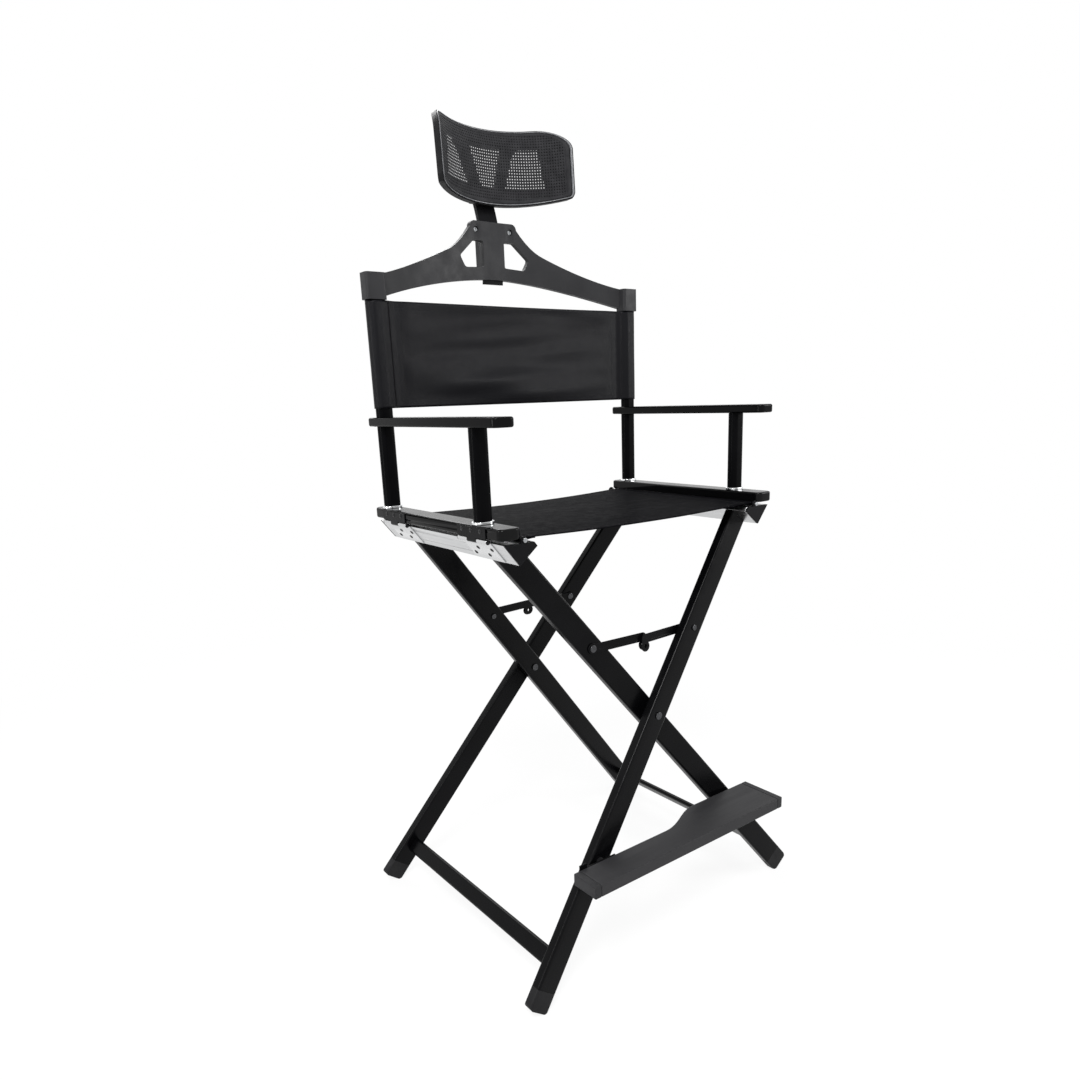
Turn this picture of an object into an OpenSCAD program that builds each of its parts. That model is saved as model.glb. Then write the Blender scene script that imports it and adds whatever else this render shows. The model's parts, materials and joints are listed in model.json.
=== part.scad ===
// Folding makeup chair: two crossed leg frames, hinged side frames, slung seat and back,
// a lift-off yoke with an adjustable headrest, and a swing-up footrest board.
// Millimetres. +Z up, the sitter looks along -Y, +X is the right of a viewer facing the chair.

/* [Leg frames] */
// Angle of each leg frame from upright when the chair is open
leg_half_angle = 38.4; // [36:0.1:40]
// Angle that each leg leans out towards the front or the back
leg_splay_angle = 6.25; // [4:0.25:7]
// Slope length from the crossing axis down to the foot end
leg_lower_length = 489; // [470:1:510]
// Slope length from the crossing axis up to the top bar
leg_upper_length = 383; // [370:1:395]
// Width of the wide face of a leg tube
leg_width = 40; // [36:1:44]
// Thickness of a leg tube
leg_thickness = 18; // [16:0.5:20]
// Wall of a leg tube
leg_wall = 1.8; // [1.2:0.1:2.5]
// Corner radius of a leg tube
leg_corner = 4; // [3:0.25:5]
// Depth between the middles of the two outer legs at the crossing axis
outer_leg_depth = 375; // [360:1:390]
// Gap between two crossing legs
leg_gap = 8; // [7.5:0.1:9]
// How far the leg frames' middle sits behind the middle of the base
frame_setback = 18.5; // [14:0.5:22]
// Slope distance from the crossing axis down to the stretcher
stretcher_slope = 415; // [390:1:430]
// Height of the stretcher section along the slope
stretcher_width = 28; // [22:1:32]
// Thickness of the stretcher section
stretcher_thickness = 10; // [8:0.5:12]

/* [Feet] */
// Length of a foot cap along the leg
foot_length = 32; // [24:1:40]
// Radius of the foot cap's end corners
foot_corner = 8; // [6:0.5:12]
// Depth of the flat ground on the foot's lowest corner
foot_flat = 0.4; // [0.2:0.1:0.8]
// Length of the plug inside the leg tube
foot_plug = 14; // [8:1:20]

/* [Crossing pivots] */
// Radius of the pivot rivet's shank
rivet_radius = 4; // [3:0.25:5]
// Radius of the pivot rivet's head
rivet_head_radius = 6.5; // [6:0.25:8]
// Height of the pivot rivet's head
rivet_head_height = 2.2; // [1.5:0.1:3]
// Radius of the spacer between the crossing legs
spacer_radius = 9; // [7:0.5:10]

/* [Brace links] */
// Slope distance from the crossing axis up to the brace bolts
brace_slope = 162; // [150:1:175]
// Height of a link's bar
link_width = 15; // [12:0.5:17]
// Thickness of a link
link_thickness = 1.8; // [1.4:0.1:2]
// Radius of the eye at each end of a link
link_eye_radius = 9; // [8:0.25:10]
// Drop of the middle pivot below the line of the bolts
link_drop = 13; // [11:0.5:16]
// Radius of the see-through hole in the middle eyelet
eyelet_radius = 3.5; // [2.5:0.25:4.5]
// Width of the pressed groove along a link
groove_width = 7; // [5:0.5:8]
// Depth of the pressed groove along a link
groove_depth = 0.7; // [0.4:0.1:1]
// Radius of a brace bolt
bolt_radius = 3; // [2.5:0.25:3.5]
// Radius of a brace bolt's head
bolt_head_radius = 6; // [5:0.25:7]
// Height of a brace bolt's head
bolt_head_height = 1.4; // [1:0.1:1.6]

/* [Top bars] */
// Height of the top bar's outer face along the slope
bar_outer_height = 40; // [38:1:44]
// Wall of the top bar
bar_wall = 2.5; // [1.8:0.1:3]
// Length of the top bar from front to back
bar_length = 382; // [370:1:386]
// How far the side frames' middle sits behind the middle of the base
side_setback = 24; // [20:0.5:28]
// Thickness of the bar's end cap
bar_cap_thickness = 4; // [3:0.5:6]

/* [Hinges] */
// Length of each hinge along its pin
hinge_length = 76; // [66:1:84]
// Distance from the end of the rail to each hinge
hinge_inset = 36; // [28:1:44]
// Thickness of a hinge leaf
leaf_thickness = 1.6; // [1.2:0.1:2]
// Width of the silver leaf along the bar's face
leaf_width = 38; // [34:1:40]
// Radius of the hinge knuckle
knuckle_radius = 3.5; // [3:0.1:3.6]
// Radius of the hinge pin
hinge_pin_radius = 1.6; // [1.2:0.1:2]
// Radius of a leaf screw's head
screw_head_radius = 3.2; // [2.5:0.1:3.5]
// Height of a leaf screw's head
screw_head_height = 0.9; // [0.5:0.1:1.2]
// Radius of a leaf screw's shank
screw_radius = 1.8; // [1.2:0.1:2]
// Length of a leaf screw's shank
screw_length = 6; // [5:0.5:7]

/* [Side frames] */
// Distance between the left and right posts' middles
post_spacing = 536; // [520:1:550]
// Width of a rail
rail_width = 36; // [34:1:40]
// Thickness of a rail
rail_thickness = 17; // [14:0.5:20]
// Length of a rail
rail_length = 388; // [380:1:400]
// Gap between the top bar and the rail
rail_gap = 6; // [5.5:0.1:7]
// Corner radius of the rails and arms seen from above
rail_corner = 10; // [6:0.5:14]
// Width of the oval post
post_width = 28; // [26:0.5:29]
// Thickness of the oval post
post_thickness = 20; // [18:0.5:22]
// Wall of a post
post_wall = 1.8; // [1.2:0.1:2.5]
// Distance from the rail's front end to the middle of the front post
front_post_inset = 71; // [60:1:80]
// Distance between the front and rear posts' middles
post_depth_spacing = 284; // [270:1:300]
// Height of the arm's underside above the floor
arm_height = 868; // [850:1:890]
// Thickness of an arm
arm_thickness = 14; // [12:0.5:18]
// Length of an arm
arm_length = 386; // [370:1:400]
// Height of the flange at each post's base
flange_height = 4; // [3:0.5:6]
// Rim of the flange around the post
flange_rim = 3; // [2:0.5:4]

/* [Seat and back] */
// Radius of the rod in each edge of the seat sling
rod_radius = 2; // [1.5:0.1:2.5]
// Thickness of the cloth
cloth_thickness = 1.5; // [1:0.1:2]
// Distance from the side frames' post middle in to the sling rod
rod_inset = 23; // [21:0.5:26]
// Depth of the seat sling from front to back
sling_depth = 360; // [350:1:373]
// Sag of the seat sling at its middle
sling_sag = 12; // [6:0.5:18]
// Height of the back canvas
canvas_height = 167; // [150:1:180]
// Width of the sewn sleeve from the canvas's outer edge
sleeve_width = 56; // [46:1:64]
// Slack of the back canvas towards the rear
canvas_slack = 9; // [4:0.5:14]

/* [Yoke] */
// Height of the caps' undersides above the floor
cap_bottom = 1063; // [1050:1:1075]
// Height of a cap
cap_height = 40; // [36:1:46]
// Wall of a cap around the post
cap_wall = 2.7; // [2:0.1:3.5]
// Depth of the post socket in a cap
socket_depth = 36; // [30:1:37]
// Backward bow of the yoke at its middle
yoke_bow = 60; // [50:1:75]
// Thickness of the yoke's arms
yoke_thickness = 10; // [8:0.5:16]
// Rise of the yoke's lower edge from the caps to the middle
yoke_arch = 50; // [40:1:60]
// Rise of the yoke's shoulder above the caps' tops
yoke_shoulder_rise = 71; // [62:1:76]
// Half width of the yoke's neck at the shoulder
yoke_shoulder = 60; // [56:1:66]
// Half width of the head block
block_half_width = 49; // [45:1:53]
// Rise of the head block above the shoulder
block_rise = 35; // [30:1:42]
// Radius of the head block's top corners
block_corner = 10; // [6:0.5:14]
// Thickness of the wall behind and before the stem
block_wall = 6; // [4.5:0.5:8]
// Half width of the web between the two windows
window_inner = 22; // [21.5:0.5:25]
// Half width out to the windows' outer points
window_outer = 72.5; // [66:0.5:76]
// Height of each window
window_height = 43; // [34:0.5:46]
// Height of the windows' foot above the caps' tops
window_rise = 31; // [28:0.5:36]

/* [Headrest] */
// Radius of the curved stem's middle line
stem_radius = 286; // [260:1:320]
// Width of the stem
stem_width = 39; // [34:0.5:40]
// Thickness of the stem
stem_thickness = 8; // [6:0.5:9]
// Stem arc below the level where it stands upright
stem_low_angle = 6.6; // [6:0.1:9]
// Stem arc above the level where it stands upright
stem_high_angle = 23; // [21:0.5:26]
// Radius of the eye at the stem's top
stem_eye_radius = 8; // [7:0.25:9]
// Radius of the tilt pin
tilt_pin_radius = 3; // [2.5:0.1:4]
// Backward lean of the headrest
head_lean = 3; // [0:0.5:16]
// Width of the headrest
head_width = 272; // [255:1:295]
// Height of the headrest at its corners
head_height = 128; // [118:1:138]
// Radius of the headrest's curve
head_radius = 161; // [150:1:200]
// Radius of the backward flare along the headrest's upper part
head_flare_radius = 85; // [70:1:140]
// Height of the flare's start above the tilt pin
head_flare_start = 72; // [50:1:90]
// Lower corner radius of the headrest's outline
head_corner = 20; // [14:1:28]
// Upper corner radius of the headrest's outline
head_top_corner = 40; // [30:1:48]
// Rise of the headrest's lower edge towards its sides
head_lower_rise = 8; // [5:0.5:14]
// Dip of the headrest's upper edge at its middle
head_upper_dip = 2; // [1:0.5:8]
// Depth of the headrest's rim from front to back
rim_depth = 10; // [8:0.5:14]
// Width of the rim's band around the edge
rim_width = 9; // [7:0.5:12]
// Thickness of the backing shell
shell_thickness = 4; // [3:0.5:5]
// Thickness of the headrest's net
net_thickness = 1.2; // [0.8:0.1:1.6]

/* [Footrest] */
// Width of the board from side to side
board_width = 434; // [410:1:450]
// Thickness of the board
board_thickness = 20; // [18:0.5:24]
// Height of the board's top above the floor
board_height = 205; // [195:1:215]
// Depth of the board at its narrow end
board_narrow_depth = 52; // [46:0.5:58]
// Length of the board's end caps
board_cap_length = 12; // [8:0.5:16]
// Radius of the footrest's pivot bolt
footrest_bolt_radius = 4; // [3:0.25:5]
// Thickness of the footrest's bracket
bracket_thickness = 2.5; // [2:0.1:3]

/* [Hidden] */
$fn = 48;
overrun = 2;
running = 0.06;
clearance = 0.3;
skin = 0.2;

// Leg frame geometry
leg_sin = sin(leg_half_angle);
leg_cos = cos(leg_half_angle);
leg_tan = tan(leg_half_angle);
splay_tan = tan(leg_splay_angle);
splay_cos = cos(leg_splay_angle);
outer_half = outer_leg_depth / 2;
leg_pitch = leg_thickness / splay_cos + leg_gap;
inner_half = outer_half - leg_pitch;
half_width = leg_width / 2;
half_thickness = leg_thickness / 2;
pivot_height = (leg_lower_length - foot_corner) * leg_cos + (half_width - foot_corner) * leg_sin + foot_corner - foot_flat;
leg_reach = leg_lower_length + leg_upper_length;

// Top bar geometry, in slope coordinates from the leg's upper end
bar_inner_height = bar_outer_height - leg_width * leg_tan;
bar_top = pivot_height + (leg_upper_length + bar_outer_height) * leg_cos - half_width * leg_sin;
bar_front = side_setback - bar_length / 2;
bar_back = side_setback + bar_length / 2;

// Side frame geometry
side_x = post_spacing / 2;
rail_bottom = bar_top + rail_gap;
rail_top = rail_bottom + rail_thickness;
rail_front = side_setback - rail_length / 2;
rail_outer = side_x + rail_width / 2;
front_post_y = rail_front + front_post_inset;
rear_post_y = front_post_y + post_depth_spacing;
arm_top = arm_height + arm_thickness;
cap_top = cap_bottom + cap_height;

// Hinge geometry
hinge_x = rail_outer + leaf_thickness - knuckle_radius;
hinge_lift = 0.5;
hinge_z = rail_bottom - knuckle_radius - hinge_lift;
hinge_v = -hinge_x * leg_cos + (hinge_z - pivot_height) * leg_sin;
hinge_s = hinge_x * leg_sin + (hinge_z - pivot_height) * leg_cos;
knuckle_gap = 0.3;
knuckle_share = 1 / 3;
pin_head_height = 1.2;
leaf_relief = 0.6;
upper_leaf_margin = 2;
leaf_screw_shares = [[0.14, 0.36], [0.38, 0.7], [0.62, 0.36], [0.86, 0.7]];
rail_screw_shares = [0.18, 0.5, 0.82];
rail_screw_height_share = 0.6;

// Foot cap and brace details
link_clear = 0.4;
link_turn = atan(leg_tan * splay_cos);
link_step = cos(link_turn) * (leg_cos + tan(link_turn) * splay_cos * leg_sin);
link_reach = brace_slope * leg_sin / link_step;
link_neck_share = 0.8;
groove_margin = 12;
bolt_tail_height = 2.4;
bolt_tail_radius = 5;
tilt_allowance = 0.3;

// Seat and back details
rod_x = side_x - rod_inset;
sleeve_radius = rod_radius + clearance + cloth_thickness;
rod_z = bar_top + clearance + sleeve_radius;
sling_top = rod_z + rod_radius + clearance + cloth_thickness / 2;
sling_radius = (rod_x * rod_x + sling_sag * sling_sag) / (2 * sling_sag);
ear_radius = 5.5;
rod_screw_radius = 3.4;
rod_screw_height = 2;
rod_overhang = 1;
canvas_clear = 0.4;
canvas_top = cap_bottom - canvas_clear;
canvas_radius = ((side_x - sleeve_width) * (side_x - sleeve_width) + canvas_slack * canvas_slack) / (2 * canvas_slack);

// Yoke details
yoke_radius = (side_x * side_x + yoke_bow * yoke_bow) / (2 * yoke_bow);
yoke_centre_y = rear_post_y + yoke_bow - yoke_radius;
shoulder_z = cap_top + yoke_shoulder_rise - clearance;
block_top = shoulder_z + block_rise;
block_side_z = block_top - block_corner;
block_corner_turn = 15;
shoulder_flare_width = 51;
shoulder_flare_power = 2;
edge_steps = 24;
yoke_lower_power = 1.75;
yoke_upper_power = 1.25;
cap_half_width = post_width / 2 + clearance + cap_wall;
cap_half_depth = post_thickness / 2 + clearance + cap_wall;
cap_corner = 5;
arm_boss_wall = 3.5;
post_top_gap = 1;
window_foot = cap_top + window_rise - clearance;
window_shape_shares = [[0, 0.05], [0.02, 0.01], [0.06, 0], [0.7, -0.05], [0.78, -0.045], [0.84, 0], [0.98, 0.28], [1, 0.35], [0.98, 0.41],
    [0.46, 0.95], [0.42, 0.985], [0.37, 1], [0.06, 1], [0.02, 0.985], [0, 0.95]];
yoke_screw_x = 36;
yoke_screw_drop = 14;
yoke_screw_radius = 4;
yoke_screw_height = 1.6;
yoke_screw_shank = 2;
yoke_screw_length = 5;
stem_level = shoulder_z - 35;
yoke_front = yoke_centre_y + yoke_radius - yoke_thickness / 2;
stem_cover = 3.5;
stem_front = yoke_front + stem_cover;
stem_y = stem_front + stem_thickness / 2;
stem_centre_y = stem_y + stem_radius;
screw_recess_radius = 5;
screw_seat = yoke_front + yoke_screw_height;
block_back = block_top > stem_level ? stem_y + stem_thickness / 2 + block_wall + stem_radius - sqrt(stem_radius * stem_radius - (block_top - stem_level) * (block_top - stem_level)) : stem_y;
pad_low = window_foot - 12;

// Headrest details
tilt_y = stem_centre_y - stem_radius * cos(stem_high_angle);
tilt_z = stem_level + stem_radius * sin(stem_high_angle);
head_face = 27;
head_low = 15;
head_centre_y = -head_face - head_radius;
rim_front = head_radius + net_thickness + skin;
lower_chord = head_width / 2 - head_corner / 2;
lower_radius = (lower_chord * lower_chord + head_lower_rise * head_lower_rise) / (2 * head_lower_rise);
upper_chord = head_width / 2 - head_top_corner * 1.2;
upper_radius = (upper_chord * upper_chord + head_upper_dip * head_upper_dip) / (2 * head_upper_dip);
back_window_low = 29;
back_window_height = 66;
back_window_top_half = 94;
back_window_low_half = 102;
back_window_corner = 10;
arm_plate_back = -17;
arm_plate_thickness = 6;
fork_foot_inner = 7;
fork_foot_outer = 28;
fork_head_inner = 36;
fork_head_outer = 62;
fork_low = -8;
fork_high = 90;
fork_pad_low = 78;
hub_half_width = 25.4;
ear_thickness = 5;
ear_gap = 0.4;
ear_height = 8.5;
pin_cap_radius = 5;
pin_cap_height = 1.6;
net_gap_columns = 20;
net_gap_rows = 11;
net_strand = 2.4;
net_inset = 4;
piping_width = 2;
piping_lift = 0.4;

// Footrest details
rest_front = frame_setback + outer_half + leg_lower_length * splay_tan + half_thickness / splay_cos;
board_front = -rest_front;
board_bottom = board_height - board_thickness;
board_narrow_back = board_front + board_narrow_depth;
board_wide_back = board_narrow_back + leg_pitch + 6;
board_step_start = -22;
board_step_end = 78;
board_steps = 12;
cap_skin = 1.2;
board_cap_wall = 2;
footrest_pivot_z = board_height - board_thickness / 2;
footrest_slope = (footrest_pivot_z - pivot_height) / leg_cos;
footrest_pivot_x = footrest_slope * leg_sin;
boss_radius = 8;
nut_radius = 5.8;
nut_height = 5;
nut_clear = 1.2;
bracket_left = 48;
bracket_right = 24;
bracket_tab_width = 14;
bracket_tab_rise = 7;
bracket_flange = 30;
bracket_screw_radius = 3;
bracket_screw_height = 1.2;
bracket_screw_length = 8;
bracket_screw_shank = 1.6;
rest_width = 34;
rest_depth = 16;
rest_drop = 24;
rest_thickness = 2.5;
rest_half = half_width - leg_corner - skin;
rest_slope = (board_bottom - rest_drop / 2 - pivot_height) / leg_cos;
rest_x = -rest_slope * leg_sin;

// Shared shapes
module mirror_when(flip, axis) {
    if (flip) mirror(axis) children();
    else children();
}

module round_rect(w, t, r) {
    square([w - 2 * r, t], center = true);
    square([w, t - 2 * r], center = true);
    for (x = [-1, 1], y = [-1, 1]) translate([x * (w / 2 - r), y * (t / 2 - r)]) circle(r = r);
}

module stadium(w, t) {
    square([w - t, t], center = true);
    for (x = [-1, 1]) translate([x * (w - t) / 2, 0]) circle(r = t / 2);
}

// Cylinder along Y from y0 to y1
module along_y(r, y0, y1) {
    translate([0, y1, 0]) rotate([90, 0, 0]) cylinder(r = r, h = y1 - y0);
}

// Leg frame placement: children are drawn for the front leg of the left-topped frame
module at_frame(right, rear) {
    translate([0, frame_setback, pivot_height])
        mirror_when(rear, [0, 1, 0]) mirror_when(right, [1, 0, 0]) children();
}

// x across the slope, z up the slope
module in_slope() {
    rotate([0, -leg_half_angle, 0]) children();
}

// The leg's own frame, z along the tube and y through it
module in_leg(half) {
    translate([0, -half, 0]) rotate([-leg_splay_angle, -leg_half_angle, 0]) children();
}

module leg_bar(half, inset) {
    in_leg(half) translate([0, 0, -leg_lower_length / splay_cos - leg_width])
        linear_extrude(height = leg_reach / splay_cos + 2 * leg_width)
            round_rect(leg_width - 2 * inset, leg_thickness - 2 * inset, leg_corner - inset);
}

// Block in slope coordinates, wide enough for every leg
module slope_block(low, high) {
    in_slope() translate([-leg_width, -outer_leg_depth, low])
        cube([2 * leg_width, outer_leg_depth, high - low]);
}

module leg(right, rear, half, pivot_hole, tail) {
    color("#1b1b1d") at_frame(right, rear) difference() {
        intersection() {
            difference() {
                leg_bar(half, 0);
                leg_bar(half, leg_wall);
            }
            slope_block(-leg_lower_length + foot_length, leg_upper_length);
        }
        along_y(pivot_hole, -half - leg_pitch, -half + leg_pitch);
        in_leg(half) translate([0, 0, brace_slope / splay_cos])
            along_y(bolt_radius + skin, -leg_thickness, leg_thickness);
        if (tail)
            translate([-footrest_slope * leg_sin, 0, footrest_slope * leg_cos])
                along_y(footrest_bolt_radius + skin, -half - leg_reach, -half + leg_reach);
    }
}

module front_leg_a() { leg(false, false, inner_half, rivet_radius + running, false); }
module rear_leg_c() { leg(false, true, inner_half, rivet_radius + running, false); }
module front_leg_b() { leg(true, false, outer_half, rivet_radius, true); }
module rear_leg_d() { leg(true, true, outer_half, rivet_radius, false); }

module foot_cap(right, rear, half) {
    color("#141415") at_frame(right, rear) difference() {
        union() {
            intersection() {
                leg_bar(half, 0);
                in_slope() translate([0, 0, -leg_lower_length + foot_length / 2]) rotate([90, 0, 0])
                    linear_extrude(height = outer_leg_depth)
                        union() {
                            translate([0, foot_corner / 2]) square([leg_width, foot_length - foot_corner], center = true);
                            translate([0, -foot_length / 2 + foot_corner / 2 + overrun / 2])
                                square([leg_width - 2 * foot_corner, foot_corner + overrun], center = true);
                            for (x = [-1, 1])
                                translate([x * (half_width - foot_corner), foot_corner - foot_length / 2]) circle(r = foot_corner);
                        }
            }
            intersection() {
                leg_bar(half, leg_wall + skin);
                slope_block(-leg_lower_length + foot_length - overrun, -leg_lower_length + foot_length + foot_plug);
            }
        }
        translate([0, -outer_leg_depth, -pivot_height - leg_width])
            cube([leg_reach, outer_leg_depth, leg_width]);
    }
}

module foot_caps(right, half) {
    foot_cap(right, false, half);
    foot_cap(right, true, half);
}
module foot_caps_right() { foot_caps(false, inner_half); }
module foot_caps_left() { foot_caps(true, outer_half); }

module stretcher(right, half) {
    color("#1b1b1d") translate([0, frame_setback, pivot_height]) mirror_when(right, [1, 0, 0]) difference() {
        in_slope() translate([0, 0, -stretcher_slope]) rotate([90, 0, 0])
            linear_extrude(height = 2 * half + 2 * stretcher_slope * splay_tan, center = true)
                rotate([0, 0, 90]) stadium(stretcher_width, stretcher_thickness);
        leg_bar(half, 0);
        mirror([0, 1, 0]) leg_bar(half, 0);
        for (rear = [false, true]) mirror_when(rear, [0, 1, 0]) in_leg(half)
            translate([-leg_width, -leg_width - half_thickness, -leg_reach])
                cube([2 * leg_width, leg_width + half_thickness, leg_reach]);
    }
}
module lower_stretcher_right() { stretcher(false, inner_half); }
module lower_stretcher_left() { stretcher(true, outer_half); }

// Crossing pivots, carried by the right-topped frame
module pivot_rivets() {
    color("#8f9194") for (rear = [false, true]) at_frame(true, rear) {
        along_y(rivet_radius, -outer_half - half_thickness, -inner_half + half_thickness + tilt_allowance + rivet_head_radius * splay_tan);
        difference() {
            along_y(rivet_head_radius, -outer_half - half_thickness - rivet_head_height, -outer_half);
            leg_bar(outer_half, 0);
        }
        translate([0, rivet_head_radius * splay_tan + tilt_allowance, 0])
            along_y(rivet_head_radius, -inner_half + half_thickness / splay_cos, -inner_half + half_thickness / splay_cos + rivet_head_height);
    }
}

module pivot_spacers() {
    color("#0f0f10") for (rear = [false, true]) at_frame(true, rear) difference() {
        along_y(spacer_radius, -outer_half, -inner_half - half_thickness / splay_cos - spacer_radius * splay_tan - tilt_allowance);
        leg_bar(outer_half, 0);
        along_y(rivet_radius, -outer_leg_depth, 0);
    }
}

// Brace links
module link_outline(inset) {
    circle(r = link_eye_radius - inset);
    translate([0, -link_width / 2 + inset]) square([link_reach, link_width - 2 * inset]);
    translate([link_reach, 0]) circle(r = link_width / 2 - inset);
    translate([link_reach, -link_drop]) circle(r = link_eye_radius - inset);
    translate([link_reach - link_eye_radius * link_neck_share, -link_drop])
        square([2 * link_eye_radius * link_neck_share, link_drop]);
}

// Link in the leg's frame, its front face at y = face
module link(right, rear, half, face) {
    color("#232325") at_frame(right, rear) in_leg(half)
        translate([0, face, brace_slope / splay_cos]) rotate([0, link_turn, 0]) difference() {
            translate([0, link_thickness, 0]) rotate([90, 0, 0]) linear_extrude(height = link_thickness) difference() {
                link_outline(0);
                circle(r = bolt_radius + running);
                translate([link_reach, -link_drop]) circle(r = eyelet_radius);
            }
            translate([groove_margin, groove_depth, 0]) rotate([90, 0, 0]) linear_extrude(height = groove_depth + overrun)
                translate([(link_reach - 2 * groove_margin) / 2, 0]) stadium(link_reach - 2 * groove_margin, groove_width);
        }
}
inner_link_face = -half_thickness - link_clear - link_thickness;
outer_link_face = half_thickness + link_clear;
module brace_link_front_a() { link(false, false, inner_half, inner_link_face); }
module brace_link_rear_c() { link(false, true, inner_half, inner_link_face); }
module brace_link_front_b() { link(true, false, outer_half, outer_link_face); }
module brace_link_rear_d() { link(true, true, outer_half, outer_link_face); }

module brace_bolts_left() {
    color("#b9bbbe") for (rear = [false, true]) at_frame(false, rear) in_leg(inner_half) translate([0, 0, brace_slope / splay_cos]) {
        along_y(bolt_radius, inner_link_face - clearance - bolt_head_height, half_thickness + bolt_tail_height);
        along_y(bolt_head_radius, inner_link_face - clearance - bolt_head_height, inner_link_face - clearance);
        along_y(bolt_tail_radius, half_thickness, half_thickness + bolt_tail_height);
    }
}

module brace_bolts_right() {
    color("#b9bbbe") for (rear = [false, true]) at_frame(true, rear) in_leg(outer_half) translate([0, 0, brace_slope / splay_cos]) {
        along_y(bolt_radius, -half_thickness - bolt_tail_height, outer_link_face + link_thickness + clearance + bolt_head_height);
        along_y(bolt_tail_radius, -half_thickness - bolt_tail_height, -half_thickness);
        along_y(bolt_head_radius, outer_link_face + link_thickness + clearance, outer_link_face + link_thickness + clearance + bolt_head_height);
    }
}

// Top bars: section in slope coordinates, inset by t
function bar_section(t) = [
    [-half_width + t, t],
    [half_width - t, t],
    [half_width - t, bar_inner_height + t * leg_tan - t / leg_cos],
    [-half_width + t, bar_outer_height - t * leg_tan - t / leg_cos]];

module bar_prism(front, back, t) {
    translate([0, back, pivot_height]) in_slope() translate([0, 0, leg_upper_length]) rotate([90, 0, 0])
        linear_extrude(height = back - front) polygon(bar_section(t));
}

module top_bar(right) {
    color("#c9cbce") mirror_when(right, [1, 0, 0]) difference() {
        bar_prism(bar_front + bar_cap_thickness, bar_back - bar_cap_thickness, 0);
        bar_prism(bar_front - overrun, bar_back + overrun, bar_wall);
        leaf_screw_shanks(screw_radius + skin);
    }
}
module top_bar_left() { top_bar(false); }
module top_bar_right() { top_bar(true); }

module rod_ear(y0, y1) {
    translate([-rod_x, 0, rod_z]) along_y(ear_radius, y0, y1);
    translate([-rod_x - ear_radius, y0, bar_top - bar_inner_height / 2])
        cube([2 * ear_radius, y1 - y0, rod_z - bar_top + bar_inner_height / 2]);
}

module bar_end_caps(right) {
    color("#161617") mirror_when(right, [1, 0, 0]) for (ends = [[bar_front, bar_front + bar_cap_thickness], [bar_back - bar_cap_thickness, bar_back]])
        difference() {
            union() {
                bar_prism(ends[0], ends[1], 0);
                rod_ear(ends[0], ends[1]);
            }
            translate([-rod_x, 0, rod_z]) along_y(rod_radius, ends[0] - overrun, ends[1] + overrun);
        }
}
module bar_end_caps_left() { bar_end_caps(false); }
module bar_end_caps_right() { bar_end_caps(true); }

module sling_rod(right) {
    color("#9a9c9f") mirror_when(right, [1, 0, 0])
        translate([-rod_x, 0, rod_z]) along_y(rod_radius, bar_front - rod_overhang, bar_back + rod_overhang);
}
module sling_rod_left() { sling_rod(false); }
module sling_rod_right() { sling_rod(true); }

module rod_screws(right) {
    color("#b9bbbe") mirror_when(right, [1, 0, 0]) translate([-rod_x, 0, rod_z])
        for (ends = [[bar_front - rod_screw_height - rod_overhang, bar_front], [bar_back, bar_back + rod_screw_height + rod_overhang]])
            difference() {
                along_y(rod_screw_radius, ends[0], ends[1]);
                along_y(rod_radius, bar_front - rod_overhang, bar_back + rod_overhang);
            }
}
module rod_screws_left() { rod_screws(false); }
module rod_screws_right() { rod_screws(true); }

// Hinges: front and rear start positions along Y
function hinge_starts() = [rail_front + hinge_inset, rail_front + rail_length - hinge_inset - hinge_length];

module knuckle(y0, y1) {
    translate([-hinge_x, 0, hinge_z]) along_y(knuckle_radius, y0, y1);
}

module lower_leaf_plate(y0, y1, top) {
    translate([0, y0, pivot_height]) in_slope()
        translate([-half_width - leaf_thickness, 0, leg_upper_length + bar_outer_height - leaf_width])
            cube([leaf_thickness, y1 - y0, top - leg_upper_length - bar_outer_height + leaf_width]);
}

module hinge_leaves_lower(right) {
    color("#d3d5d8") mirror_when(right, [1, 0, 0]) for (start = hinge_starts()) difference() {
        union() {
            lower_leaf_plate(start + skin, start + hinge_length - skin, hinge_s - leaf_relief);
            for (i = [0, 2])
                knuckle(start + i * hinge_length * knuckle_share, start + (i + 1) * hinge_length * knuckle_share);
        }
        translate([0, start + hinge_length * knuckle_share, pivot_height]) in_slope()
            translate([-half_width - knuckle_radius, 0, hinge_s - knuckle_radius - leaf_relief])
                cube([2 * knuckle_radius, hinge_length * knuckle_share, 3 * knuckle_radius]);
        translate([-hinge_x, 0, hinge_z]) along_y(hinge_pin_radius + running, start - overrun, start + hinge_length + overrun);
        leaf_screw_shanks(screw_radius + skin);
    }
}
module hinge_leaves_lower_left() { hinge_leaves_lower(false); }
module hinge_leaves_lower_right() { hinge_leaves_lower(true); }

module hinge_leaves_upper(right) {
    color("#101011") mirror_when(right, [1, 0, 0]) for (start = hinge_starts()) {
        middle = start + hinge_length * knuckle_share + knuckle_gap;
        middle_end = start + 2 * hinge_length * knuckle_share - knuckle_gap;
        difference() {
            union() {
                translate([-rail_outer - leaf_thickness, start, hinge_z + knuckle_radius + leaf_relief])
                    cube([leaf_thickness, hinge_length, rail_top - upper_leaf_margin - hinge_z - knuckle_radius - leaf_relief]);
                translate([-rail_outer - leaf_thickness, middle, hinge_z])
                    cube([leaf_thickness, middle_end - middle, rail_top - upper_leaf_margin - hinge_z]);
                knuckle(middle, middle_end);
            }
            translate([-hinge_x, 0, hinge_z]) along_y(hinge_pin_radius + running, start - overrun, start + hinge_length + overrun);
            rail_screw_shanks(screw_radius + skin);
        }
    }
}
module hinge_leaves_upper_left() { hinge_leaves_upper(false); }
module hinge_leaves_upper_right() { hinge_leaves_upper(true); }

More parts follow.
